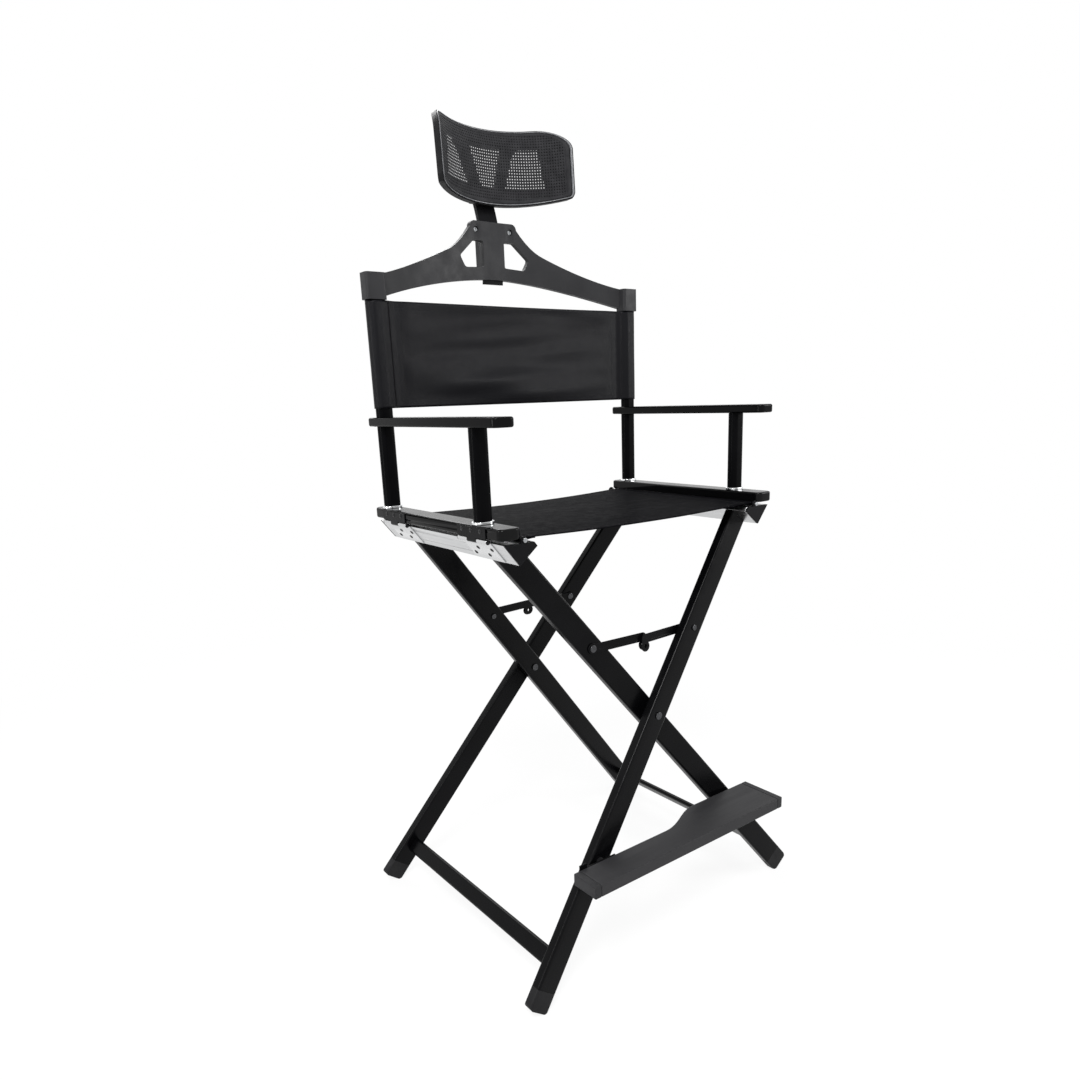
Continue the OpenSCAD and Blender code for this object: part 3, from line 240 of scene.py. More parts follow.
def clothMaterial(name, look):
    # plain weave along the cloth's own UV map, in metres
    finish, tree, shader = startMaterial(name, look)
    source = addNode(tree, "ShaderNodeTexCoord")
    coords = source.outputs["Object"]
    place = addNode(tree, "ShaderNodeMapping", {"Scale": (1 / look["pitch"], 1 / look["pitch"], 1)})
    link(tree, source.outputs["UV"], place.inputs["Vector"])
    checker = addNode(tree, "ShaderNodeTexChecker", {"Scale": 1})
    link(tree, place.outputs["Vector"], checker.inputs["Vector"])
    crossing = addNode(tree, "ShaderNodeMix", data_type="FLOAT")
    link(tree, checker.outputs["Fac"], crossing.inputs["Factor"])
    for direction, socket in (("X", "A"), ("Y", "B")):
        thread = addNode(tree, "ShaderNodeTexWave",
                         {"Scale": weave["bandScale"], "Distortion": weave["distortion"], "Detail": 1},
                         wave_type="BANDS", bands_direction=direction, wave_profile="SIN")
        link(tree, place.outputs["Vector"], thread.inputs["Vector"])
        link(tree, thread.outputs["Fac"], crossing.inputs[socket])
    height = crossing.outputs["Result"]

    patches = noiseOn(tree, coords, look["patchScale"], weave["patchDetail"])
    # the colour follows the weave's height: the hollows between threads are painted darker than the raised
    # threads, as painted shade, on top of random patches of tone
    tone = addNode(tree, "ShaderNodeMath", operation="MULTIPLY_ADD")
    link(tree, height, tone.inputs[0])
    tone.inputs[1].default_value = weave["hollowShade"]
    link(tree, spread(tree, patches, *weave["patchTone"]), tone.inputs[2])
    color = mixColors(tree, tone.outputs[0], look["second"], look["color"])
    gloss = noiseOn(tree, coords, weave["glossScale"], weave["glossDetail"])
    swell = noiseOn(tree, coords, weave["swellScale"], weave["swellDetail"])
    fine = bumpOn(tree, height, look["grain"], weave["depth"])
    soft = bumpOn(tree, swell, weave["swell"], weave["swellDepth"])
    link(tree, soft.outputs["Normal"], fine.inputs["Normal"])
    link(tree, color, shader.inputs["Base Color"])
    link(tree, spread(tree, gloss, *look["roughness"]), shader.inputs["Roughness"])
    link(tree, fine.outputs["Normal"], shader.inputs["Normal"])
    return finish


looks = {
    # painted and lacquered black
    "powderCoat": {"color": (0.0022, 0.0022, 0.0026), "second": (0.0013, 0.0013, 0.0016),
                   "patchScale": 14, "glossScale": 55, "roughness": (0.20, 0.28),
                   "grainScale": 1400, "grain": 0.1, "specular": 0.085},
    "tubeCoat": {"color": (0.0022, 0.0022, 0.0026), "second": (0.0013, 0.0013, 0.0016),
                 "patchScale": 14, "glossScale": 55, "roughness": (0.24, 0.34),
                 "grainScale": 1400, "grain": 0.12, "specular": 0.03},
    "lacquer": {"color": (0.0012, 0.0012, 0.0014), "second": (0.0020, 0.0020, 0.0022),
                "patchScale": 9, "glossScale": 40, "roughness": (0.16, 0.24),
                "grainScale": 420, "grain": 0.05, "specular": 0.02, "coat": 0.13, "coatRoughness": 0.07},
    "railLacquer": {"color": (0.0012, 0.0012, 0.0014), "second": (0.0020, 0.0020, 0.0022),
                    "patchScale": 9, "glossScale": 40, "roughness": (0.16, 0.24),
                    "grainScale": 420, "grain": 0.05, "specular": 0.02, "coat": 0.24, "coatRoughness": 0.05},
    "boardGrain": {"color": (0.0330, 0.0327, 0.0345), "second": (0.0225, 0.0223, 0.0238),
                   "patchScale": 8, "glossScale": 70, "roughness": (0.38, 0.5), "stretch": (0.12, 1, 1),
                   "grainScale": 260, "grain": 0.25, "depth": 0.0003, "specular": 0.12},
    "enamel": {"color": (0.0024, 0.0024, 0.0028), "second": (0.0014, 0.0014, 0.0017),
               "patchScale": 30, "glossScale": 90, "roughness": (0.22, 0.32),
               "grainScale": 900, "grain": 0.1, "specular": 0.08},
    # metals
    "extrusion": {"color": (0.64, 0.645, 0.65), "second": (0.56, 0.565, 0.57),
                  "patchScale": 30, "glossScale": 260, "roughness": (0.26, 0.38), "stretch": (1, 0.03, 1),
                  "grainScale": 900, "grain": 0.25, "metallic": 1, "specular": 0.5},
    "brushedSteel": {"color": (0.70, 0.705, 0.71), "second": (0.58, 0.585, 0.59),
                     "patchScale": 40, "glossScale": 380, "roughness": (0.20, 0.34), "stretch": (1, 0.04, 1),
                     "grainScale": 1300, "grain": 0.3, "metallic": 1, "specular": 0.5},
    "brightMetal": {"color": (0.80, 0.81, 0.82), "second": (0.70, 0.71, 0.72),
                    "patchScale": 60, "glossScale": 200, "roughness": (0.10, 0.2),
                    "grainScale": 700, "grain": 0.06, "metallic": 1, "specular": 0.5},
    "zinc": {"color": (0.40, 0.41, 0.42), "second": (0.26, 0.27, 0.28),
             "patchScale": 300, "glossScale": 500, "roughness": (0.25, 0.4),
             "grainScale": 1600, "grain": 0.12, "metallic": 1, "specular": 0.5},
    "blackSteel": {"color": (0.016, 0.016, 0.017), "second": (0.008, 0.008, 0.009),
                   "patchScale": 300, "glossScale": 300, "roughness": (0.28, 0.4),
                   "grainScale": 1500, "grain": 0.1, "metallic": 0.4, "specular": 0.3},
    "rivetSteel": {"color": (0.085, 0.086, 0.09), "second": (0.05, 0.051, 0.054),
                   "patchScale": 300, "glossScale": 300, "roughness": (0.22, 0.32),
                   "grainScale": 1500, "grain": 0.08, "metallic": 1, "specular": 0.5},
    # plastics and thread
    "mouldedBlack": {"color": (0.0046, 0.0046, 0.0053), "second": (0.0030, 0.0030, 0.0036),
                     "patchScale": 26, "glossScale": 80, "roughness": (0.38, 0.5),
                     "grainScale": 1700, "grain": 0.22, "specular": 0.07},
    "footPlastic": {"color": (0.0105, 0.0105, 0.0112), "second": (0.0075, 0.0075, 0.0081),
                    "patchScale": 26, "glossScale": 80, "roughness": (0.42, 0.56),
                    "grainScale": 1700, "grain": 0.3, "specular": 0.12},
    "mouldedGrey": {"color": (0.0235, 0.0235, 0.0250), "second": (0.0170, 0.0170, 0.0185),
                    "patchScale": 12, "glossScale": 50, "roughness": (0.38, 0.5),
                    "grainScale": 1500, "grain": 0.3, "specular": 0.13},
    "strand": {"color": (0.0225, 0.0225, 0.0245), "second": (0.0140, 0.0140, 0.0156),
               "patchScale": 60, "glossScale": 300, "roughness": (0.55, 0.7),
               "grainScale": 2600, "grain": 0.4, "specular": 0.1, "sheen": 0.05},
    # the piping's grey is made lighter than its own tone so that it also stands in for the highlight along the
    # rim: partly real grey, partly painted highlight
    "pipingGreyAndHighlight": {"color": (0.15, 0.152, 0.16), "second": (0.11, 0.112, 0.12),
                 "patchScale": 90, "glossScale": 300, "roughness": (0.22, 0.34),
                 "grainScale": 2200, "grain": 0.2, "specular": 0.6},
    "thread": {"color": (0.006, 0.006, 0.007), "second": (0.003, 0.003, 0.004),
               "patchScale": 120, "glossScale": 400, "roughness": (0.5, 0.65),
               "grainScale": 3000, "grain": 0.5, "specular": 0.15},
}
cloths = {
    # the seat canvas is a darker copy of the back canvas: painted shade that offsets the stronger light on its
    # up-facing top
    "seatCloth": {"color": (0.0052, 0.0052, 0.0062), "second": (0.0022, 0.0022, 0.0028), "pitch": 0.0009,
                  "patchScale": 5, "roughness": (0.48, 0.56), "grain": 0.25, "specular": 0.004},
    "backCloth": {"color": (0.0080, 0.0080, 0.0096), "second": (0.0034, 0.0034, 0.0043), "pitch": 0.0008,
                  "patchScale": 4, "roughness": (0.30, 0.36), "grain": 0.22, "specular": 0.085},
}
materials = {name: grainMaterial(name, look) for name, look in looks.items()}
materials.update({name: clothMaterial(name, look) for name, look in cloths.items()})
print("materials made:", len(materials))


# CAD pieces with their sharp edges eased: width of the easing, finish, pieces
easedEdges = [
    (0.0006, "powderCoat", ["front_leg_a", "front_leg_b", "rear_leg_c", "rear_leg_d"]),
    (0.0005, "powderCoat", bothSides("lower_stretcher")),
    (0.0004, "tubeCoat", bothSides("front_post")),
    (0.0005, "tubeCoat", bothSides("rear_post")),
    (0.0005, "extrusion", bothSides("top_bar")),
    (0.0008, "mouldedBlack", bothSides("bar_end_caps")),
    (0.0008, "footPlastic", bothSides("foot_caps")),
    (0.0003, "brushedSteel", bothSides("hinge_leaves_lower")),
    (0.0003, "enamel", bothSides("hinge_leaves_upper")),
    (0.0003, "blackSteel", bothSides("hinge_pins")),
    (0.0028, "railLacquer", bothSides("rail")),
    (0.0028, "lacquer", bothSides("arm")),
    (0.0007, "brightMetal", bothSides("post_flanges")),
    (0.0012, "rivetSteel", ["pivot_rivets"]),
    (0.0004, "mouldedBlack", ["pivot_spacers"]),
    (0.0008, "rivetSteel", bothSides("brace_bolts")),
    (0.0004, "enamel", ["brace_link_front_a", "brace_link_front_b", "brace_link_rear_c", "brace_link_rear_d"]),
    (0.0003, "zinc", bothSides("sling_rod")),
    (0.0006, "zinc", bothSides("rod_screws")),
    (0.0016, "mouldedGrey", ["yoke"]),
    (0.0010, "mouldedBlack", ["headrest_stem"]),
    (0.0005, "blackSteel", ["tilt_pin"]),
    (0.0012, "mouldedBlack", ["headrest_frame"]),
    (0.0016, "boardGrain", ["footrest_board"]),
    (0.0016, "mouldedGrey", ["board_end_caps"]),
    (0.0004, "enamel", ["footrest_bracket", "footrest_rest"]),
    (0.0004, "blackSteel", ["footrest_pivot_bolt"]),
    (0.0003, "blackSteel", ["bracket_screws"]),
]
# thin slivers lie beside these pieces' edges, so their bevel is held back there
clampedEdges = {"yoke", "pivot_rivets", "headrest_stem", "headrest_frame", *bothSides("hinge_leaves_upper")}
easing = {"merge": 0.000004, "flatAngle": 0.05, "edgeAngle": 38, "segments": 2}


def mergedShape(mesh):
    # a CAD mesh is loose triangles; this is a merged copy of it
    shape = bmesh.new()
    shape.from_mesh(mesh)
    bmesh.ops.remove_doubles(shape, verts=shape.verts, dist=easing["merge"])
    return shape


def easedPiece(node, width, finish):
    mesh = frame["nodes"][node].data.copy()
    shape = mergedShape(mesh)
    bmesh.ops.dissolve_limit(shape, angle_limit=math.radians(easing["flatAngle"]),
                             verts=shape.verts, edges=shape.edges)
    shape.to_mesh(mesh)
    shape.free()
    mesh.materials.clear()
    mesh.shade_smooth()
    mesh.set_sharp_from_angle(angle=math.radians(easing["edgeAngle"]))
    carrier = newObject(node + "Carrier", mesh)
    bevel = carrier.modifiers.new("bevel", "BEVEL")
    bevel.limit_method, bevel.angle_limit = "ANGLE", math.radians(easing["edgeAngle"])
    bevel.width, bevel.segments = width, easing["segments"]
    bevel.use_clamp_overlap = node in clampedEdges
    bevel.harden_normals = True
    plain = plainMesh(carrier)
    plain.materials.append(materials[finish])
    return newObject("eased_" + node, plain)


for width, finish, nodes in easedEdges:
    for node in nodes:
        finishPiece(easedPiece(node, width, finish), node)
print("CAD pieces eased:", sum(len(nodes) for _, _, nodes in easedEdges))


def placementTree(name):
    # geometry nodes: the template on each point, its z along "facing" and its x along "along"
    tree = bpy.data.node_groups.new(name, "GeometryNodeTree")
    sockets = {}
    for socket, kind in (("Geometry", "Geometry"), ("Template", "Object"), ("Scale", "Float"),
                         ("Finish", "Material")):
        made = tree.interface.new_socket(socket, in_out="INPUT", socket_type="NodeSocket" + kind)
        sockets[socket] = made.identifier
    tree.interface.new_socket("Geometry", in_out="OUTPUT", socket_type="NodeSocketGeometry")
    start, end = addNode(tree, "NodeGroupInput"), addNode(tree, "NodeGroupOutput")
    toPoints = addNode(tree, "GeometryNodeMeshToPoints")
    info = addNode(tree, "GeometryNodeObjectInfo")
    onPoints = addNode(tree, "GeometryNodeInstanceOnPoints")
    realize = addNode(tree, "GeometryNodeRealizeInstances")
    paint = addNode(tree, "GeometryNodeSetMaterial")
    turns = None
    for attribute, axis, pivot in (("facing", "Z", "AUTO"), ("along", "X", "Z")):
        read = addNode(tree, "GeometryNodeInputNamedAttribute", {"Name": attribute}, data_type="FLOAT_VECTOR")
        align = addNode(tree, "FunctionNodeAlignRotationToVector", axis=axis, pivot_axis=pivot)
        link(tree, read.outputs["Attribute"], align.inputs["Vector"])
        if turns:
            link(tree, turns, align.inputs["Rotation"])
        turns = align.outputs["Rotation"]
    link(tree, start.outputs["Geometry"], toPoints.inputs["Mesh"])
    link(tree, start.outputs["Template"], info.inputs["Object"])
    link(tree, toPoints.outputs["Points"], onPoints.inputs["Points"])
    link(tree, info.outputs["Geometry"], onPoints.inputs["Instance"])
    link(tree, turns, onPoints.inputs["Rotation"])
    link(tree, start.outputs["Scale"], onPoints.inputs["Scale"])
    link(tree, onPoints.outputs["Instances"], realize.inputs["Geometry"])
    link(tree, realize.outputs["Geometry"], paint.inputs["Geometry"])
    link(tree, start.outputs["Finish"], paint.inputs["Material"])
    link(tree, paint.outputs["Geometry"], end.inputs["Geometry"])
    return tree, sockets


placeTree, placeSockets = placementTree("placeOnPoints")


def placed(name, template, spots, finish, scale=1.0):
    # spots: (place, facing, along); gives one plain mesh of the template at every spot
    mesh = bpy.data.meshes.new(name + "Spots")
    mesh.from_pydata([tuple(spot[0]) for spot in spots], [], [])
    for attribute, column in (("facing", 1), ("along", 2)):
        values = mesh.attributes.new(attribute, "FLOAT_VECTOR", "POINT")
        values.data.foreach_set("vector", [number for spot in spots for number in spot[column]])
    carrier = newObject(name + "Carrier", mesh)
    modifier = carrier.modifiers.new("place", "NODES")
    modifier.node_group = placeTree
    modifier[placeSockets["Template"]] = template
    modifier[placeSockets["Scale"]] = scale
    modifier[placeSockets["Finish"]] = materials[finish]
    return newObject(name, plainMesh(carrier))


# screws: a domed head with a cross recess, and a plain shank
screw = {
    "around": 24, "head": 0.0034, "dome": 0.0011, "fall": 0.75,
    "rings": (0.0004, 0.0008, 0.0012, 0.0016, 0.0019, 0.0022, 0.0028),
    "recess": 0.0012, "recessFade": 0.5, "slotHalf": 0.00048, "slotReach": 0.0019,
    "shank": 0.0017, "length": 0.005, "sharpAngle": 50,
}


def screwMesh():
    count, head, dome = screw["around"], screw["head"], screw["dome"]
    turns = [2 * math.pi * i / count for i in range(count)]
    points, faces = [Vector((0, 0, dome - screw["recess"]))], []
    for radius in screw["rings"] + (head,):
        for turn in turns:
            x, y = radius * math.cos(turn), radius * math.sin(turn)
            z = dome * (1 - (radius / head) ** 2 * screw["fall"])
            if radius < screw["slotReach"] and min(abs(x), abs(y)) < screw["slotHalf"]:
                z -= screw["recess"] * (1 - radius / screw["slotReach"] * screw["recessFade"])
            points.append(Vector((x, y, z)))
    plainRings = ((head, 0), (screw["shank"], 0), (screw["shank"], -screw["length"]))
    for radius, z in plainRings:
        points += [Vector((radius * math.cos(turn), radius * math.sin(turn), z)) for turn in turns]
    loops = len(screw["rings"]) + 1 + len(plainRings)
    for i in range(count):
        j = (i + 1) % count
        faces.append((0, 1 + i, 1 + j))
        for k in range(loops - 1):
            a, b = 1 + k * count, 1 + (k + 1) * count
            faces.append((a + i, b + i, b + j, a + j))
    faces.append(tuple(reversed(range(1 + (loops - 1) * count, 1 + loops * count))))
    mesh = meshFrom("screw", points, faces)
    mesh.shade_smooth()
    mesh.set_sharp_from_angle(angle=math.radians(screw["sharpAngle"]))
    return mesh


def headSpots(node, inward, faceDepth=0.00002):
    # the middle of the outer face of each separate screw of a CAD node
    shape = mergedShape(frame["nodes"][node].data)
    shape.verts.ensure_lookup_table()
    seen, spots = set(), []
    for vert in shape.verts:
        if vert.index in seen:
            continue
        group, stack = [], [vert]
        seen.add(vert.index)
        while stack:
            current = stack.pop()
            group.append(current.co.copy())
            for edge in current.link_edges:
                other = edge.other_vert(current)
                if other.index not in seen:
                    seen.add(other.index)
                    stack.append(other)
        reach = [point.dot(inward) for point in group]
        front = [point for point, depth in zip(group, reach) if depth < min(reach) + faceDepth]
        spots.append(sum(front, Vector()) / len(front))
    shape.free()
    return spots


screwTemplate = hiddenTemplate("screwTemplate", screwMesh())
# the leaf screws stand square to the top bars' sloping outer faces
barSlope = math.radians(38.4)
# for each row: the way its screws go in, finish, how deep the head sits, and size
screwRows = {
    "leaf_screws_left": (Vector((math.cos(barSlope), 0, math.sin(barSlope))), "blackSteel", 0.0009, 1.0),
    "leaf_screws_right": (Vector((-math.cos(barSlope), 0, math.sin(barSlope))), "blackSteel", 0.0009, 1.0),
    "rail_screws_left": (Vector((1, 0, 0)), "blackSteel", 0.0009, 1.0),
    "rail_screws_right": (Vector((-1, 0, 0)), "blackSteel", 0.0009, 1.0),
    "yoke_screws": (Vector((0, 1, 0)), "zinc", 0.0016, 1.25),
}
screwTurn = {"first": 0.3, "step": 1.1}
for node, (inward, finish, sink, size) in screwRows.items():
    across = Vector((0, 1, 0)) if abs(inward.y) < 0.5 else Vector((1, 0, 0))
    turn = screwTurn["first"]
    spots = []
    for place in headSpots(node, inward):
        spots.append((place + inward * sink, -inward, Matrix.Rotation(turn, 3, inward) @ across))
        turn += screwTurn["step"]
    finishPiece(placed("screws_" + node, screwTemplate, spots, finish, size), node)
print("screw rows placed:", len(screwRows))


# stitches: short rounded threads along a cloth
stitch = {
    "length": 0.0024, "thick": 0.0004, "flat": 0.8, "sides": 6, "pitch": 0.0034, "ahead": 0.001,
    "stations": ((-0.5, 0.15), (-0.36, 0.75), (0, 1), (0.36, 0.75), (0.5, 0.15)),
}


def stitchMesh():
    points, faces, sides, stations = [], [], stitch["sides"], stitch["stations"]
    for x, share in stations:
        for i in range(sides):
            turn, radius = 2 * math.pi * i / sides, stitch["thick"] * share
            points.append(Vector((x * stitch["length"], radius * math.cos(turn),
                                  radius * math.sin(turn) * stitch["flat"])))
    for k in range(len(stations) - 1):
        for i in range(sides):
            j = (i + 1) % sides
            faces.append((k * sides + i, (k + 1) * sides + i, (k + 1) * sides + j, k * sides + j))
    faces.append(tuple(range(sides)))
    faces.append(tuple(reversed(range((len(stations) - 1) * sides, len(stations) * sides))))
    return turnedOut(meshFrom("stitch", points, faces))


stitchTemplate = hiddenTemplate("stitchTemplate", stitchMesh())


def stitchLine(surface, path, lift):
    # surface(u, v) gives a point and a normal; path is a list of (u, v) in metres along the cloth
    spots, carried = [], 0.0
    for (u0, v0), (u1, v1) in zip(path, path[1:]):
        length = math.hypot(u1 - u0, v1 - v0)
        stepU, stepV = (u1 - u0) / length * stitch["ahead"], (v1 - v0) / length * stitch["ahead"]
        while carried < length:
            t = carried / length
            u, v = u0 + (u1 - u0) * t, v0 + (v1 - v0) * t
            point, normal = surface(u, v)
            ahead, _ = surface(u + stepU, v + stepV)
            spots.append((point + normal * lift, normal, (ahead - point).normalized()))
            carried += stitch["pitch"]
        carried -= length
    return spots


def sheetFrom(name, surface, us, vs, thick, finish):
    # a sheet over the surface's grid, with the flat (u, v) as its UV map
    points = [surface(u, v)[0] for v in vs for u in us]
    uvs = [(u, v) for v in vs for u in us]
    n = len(us)
    faces = [(j * n + i, j * n + i + 1, (j + 1) * n + i + 1, (j + 1) * n + i)
             for j in range(len(vs) - 1) for i in range(n - 1)]
    mesh = meshFrom(name, points, faces, uvs)
    mesh.shade_smooth()
    mesh.materials.append(materials[finish])
    carrier = newObject(name, mesh)
    wall = carrier.modifiers.new("wall", "SOLIDIFY")
    wall.thickness, wall.offset = thick, 0
    return newObject(name, plainMesh(carrier))


def alongPath(path):
    # the lengths along a flat path, and a function from a length to its point and direction
    lengths = [0.0]
    for a, b in zip(path, path[1:]):
        lengths.append(lengths[-1] + math.hypot(b[0] - a[0], b[1] - a[1]))

    def at(s):
        s = min(max(s, 0.0), lengths[-1] - 1e-9)
        k = max(i for i, length in enumerate(lengths[:-1]) if length <= s)
        t = (s - lengths[k]) / max(1e-9, lengths[k + 1] - lengths[k])
        a, b = path[k], path[k + 1]
        d = math.hypot(b[0] - a[0], b[1] - a[1])
        return (a[0] + (b[0] - a[0]) * t, a[1] + (b[1] - a[1]) * t), ((b[0] - a[0]) / d, (b[1] - a[1]) / d)
    return lengths, at


# seat: one stretched cloth, wrapped round the rods and sewn back under itself
seat = {
    "wrap": 0.0031, "thick": 0.0011, "hem": 0.022, "under": 0.0014, "hemDrop": 0.0034,
    "sag": 0.004, "frontDroop": 0.0012, "droopFall": 14, "wrinkle": 0.0010,
    "hemEnd": 0.001, "underPoints": 8, "wrapPoints": 14, "topPoints": 97, "rows": 64,
    "stitchEdge": 0.004, "stitchGap": 0.005, "stitchFront": 0.012, "blendInset": 0.01,
}
rodLow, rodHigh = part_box("sling_rod_left")
rodX, rodZ = (rodLow.x + rodHigh.x) / 2, (rodLow.z + rodHigh.z) / 2
seatLow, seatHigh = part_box("seat_sling")


def seatSag(x):
    return -seat["sag"] * (1 - (x / rodX) ** 2)


def seatPath():
    # across the chair: the left hem, round the left rod, over the top, and mirrored
    left = abs(rodX)
    topZ = rodZ + seat["wrap"]
    path = []
    for x in evenly(-left + seat["hem"], -left + seat["hemEnd"], seat["underPoints"]):
        fall = max(0, 1 - (left + x) / seat["hem"]) ** 2
        path.append((x, topZ + seatSag(x) - seat["under"] - seat["hemDrop"] * fall))
    for i in range(1, seat["wrapPoints"] + 1):
        turn = math.radians(-90 - 180 * i / (seat["wrapPoints"] + 1))
        path.append((-left + seat["wrap"] * math.cos(turn), rodZ + seat["wrap"] * math.sin(turn)))
    hemAndWrap = list(path)
    for x in evenly(-left, left, seat["topPoints"]):
        path.append((x, topZ + seatSag(x)))
    return path + [(-x, z) for x, z in reversed(hemAndWrap)]


seatLengths, seatAt = alongPath(seatPath())
seatSpan = seatLengths[-1]


def seatSurface(u, v):
    (x, z), (tx, tz) = seatAt(u)
    middle = max(0.0, 1 - (x / rodX) ** 2)
    depth = (v - seatLow.y) / (seatHigh.y - seatLow.y)
    z -= seat["frontDroop"] * middle * (math.exp(-depth * seat["droopFall"])
                                        + math.exp(-(1 - depth) * seat["droopFall"]))
    # broad wrinkles, and half as deep finer ones
    z += (seat["wrinkle"] * middle * noise.noise(Vector((x * 3, v * 16, 3.1)))
          + seat["wrinkle"] * 0.5 * middle * noise.noise(Vector((x * 7, v * 30, 8.7))))
    return Vector((x, v, z)), Vector((-tz, 0, tx))


seatCloth = sheetFrom("seatCloth", seatSurface, sorted(set(seatLengths)),
                      evenly(seatLow.y, seatHigh.y, seat["rows"]), seat["thick"], "seatCloth")
wrapEnd = seatLengths[seat["underPoints"] + seat["wrapPoints"]]
edge, gap = seat["stitchEdge"], seat["stitchGap"]
panelLeft, panelRight = wrapEnd + seat["hem"] - edge, seatSpan - wrapEnd - seat["hem"] + edge
seatStitches = []
for u in (panelLeft, panelLeft + gap, panelRight, panelRight - gap):
    line = [(u, seatLow.y + edge), (u, seatHigh.y - edge)]
    seatStitches += stitchLine(seatSurface, line, seat["thick"] / 2)
for v in (seatLow.y + seat["stitchFront"], seatHigh.y - seat["stitchFront"]):
    line = [(wrapEnd + edge, v), (seatSpan - wrapEnd - edge, v)]
    seatStitches += stitchLine(seatSurface, line, seat["thick"] / 2)
seatThread = placed("seatStitches", stitchTemplate, seatStitches, "thread")
for piece in (seatCloth, seatThread):
    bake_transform(piece)
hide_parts("seat_sling")
print("seat cloth: %.0f x %.0f mm" % (seatSpan * 1000, (seatHigh.y - seatLow.y) * 1000))


# back: one long cloth, wrapped round both rear posts and sewn back on itself
back = {
    "postX": 0.268, "postY": 0.185, "flat": 0.004, "end": 0.01, "wrap": 0.00115,
    "sewn": 0.238, "hem": 0.212, "cut": 0.247, "half": 0.00075, "thick": 0.0013,
    "slack": 0.0085, "low": 0.8962, "high": 1.0622, "rows": 44,
    "hemPoints": 10, "cornerPoints": 8, "endPoints": 19, "panelPoints": 96,
    "longestStep": 0.005, "shortestStep": 0.0004,
    "freeTo": 0.225, "wave": 0.0100, "ripple": 0.0024, "crease": 0.0005,
    "stitchEdge": 0.004, "stitchGap": 0.012, "stitchTop": 0.011,
    "foldFrom": -0.250, "foldKeep": 0.117,
}


def backPath():
    # plan view: from the rear hem outwards, round the post, over the front, and mirrored
    radius, quarter = back["end"] + back["wrap"], math.pi / 2
    near, far = back["postX"] - back["flat"], back["postX"] + back["flat"]
    tangent = math.acos(radius / (near - back["sewn"]))

    def arc(centre, fromTurn, toTurn, count):
        return [(centre + radius * math.cos(turn), back["postY"] + radius * math.sin(turn))
                for turn in evenly(fromTurn, toTurn, count)]

    hemPoints, cornerPoints = back["hemPoints"], back["cornerPoints"]
    outer = [(x, back["postY"] + back["half"]) for x in evenly(back["hem"], back["sewn"], hemPoints)]
    outer += arc(near, math.pi - tangent, quarter, cornerPoints)
    outer += arc(far, quarter, -quarter, back["endPoints"])
    outer += arc(near, -quarter, -math.pi + tangent, cornerPoints)
    outer += [(x, back["postY"] - back["half"]) for x in evenly(back["sewn"], back["hem"], hemPoints)]
    middle = [(x, back["postY"] - back["half"] + back["slack"] * (1 - (x / back["hem"]) ** 2))
              for x in evenly(-back["hem"], back["hem"], back["panelPoints"])[1:-1]]
    whole = [(-x, y) for x, y in outer] + middle + list(reversed(outer))
    fine = []
    for a, b in zip(whole, whole[1:]):
        steps = max(1, math.ceil(math.hypot(b[0] - a[0], b[1] - a[1]) / back["longestStep"]))
        fine += [(a[0] + (b[0] - a[0]) * i / steps, a[1] + (b[1] - a[1]) * i / steps) for i in range(steps)]
    return fine + [whole[-1]]


backLine = backPath()
backLengths, backAt = alongPath(backLine)
backSpan = backLengths[-1]


def backSurface(u, v):
    (x, y), (tx, ty) = backAt(u)
    free = max(0.0, 1 - (x / back["freeTo"]) ** 2)
    rise = (v - back["low"]) / (back["high"] - back["low"])
    # soft slanting waves in the free panel between the sewn ends
    y += free ** 0.5 * back["wave"] * noise.noise(Vector((x * 2.4 + rise * 0.5, rise * 3.2 + x * 1.6, 1.7)))
    y += free ** 0.5 * back["ripple"] * noise.noise(Vector((x * 5 - rise, rise * 7 - x * 3, 6.2)))
    share = 1 if abs(x) > back["freeTo"] else 0.4
    y += back["crease"] * noise.noise(Vector((u * 40, v * 12, 4.4))) * share
    return Vector((x, y, v)), Vector((ty, -tx, 0)).normalized()


def lengthWhere(x, which):
    # the length along the path where it passes x: which is 0 for the first time, -1 for the last
    crossings = []
    for a, b, low, high in zip(backLine, backLine[1:], backLengths, backLengths[1:]):
        if (a[0] - x) * (b[0] - x) <= 0 and a[0] != b[0]:
            crossings.append(low + (high - low) * ((x - a[0]) / (b[0] - a[0])))
    return crossings[which]


leftRear, leftFront = lengthWhere(-back["cut"], 0), lengthWhere(-back["cut"], -1)
rightFront, rightRear = lengthWhere(back["cut"], 0), lengthWhere(back["cut"], -1)
backRows = evenly(back["low"], back["high"], back["rows"])


def backStrip(name, low, high):
    inside = [u for u in backLengths if low + back["shortestStep"] < u < high - back["shortestStep"]]
    return sheetFrom(name, backSurface, [low] + inside + [high], backRows, back["thick"], "backCloth")


def joined(name, parts):
    shape = bmesh.new()
    for part in parts:
        shape.from_mesh(part.data)
    mesh = parts[0].data.copy()
    shape.to_mesh(mesh)
    shape.free()
    for part in parts:
        bpy.data.objects.remove(part)
    return newObject(name, mesh)


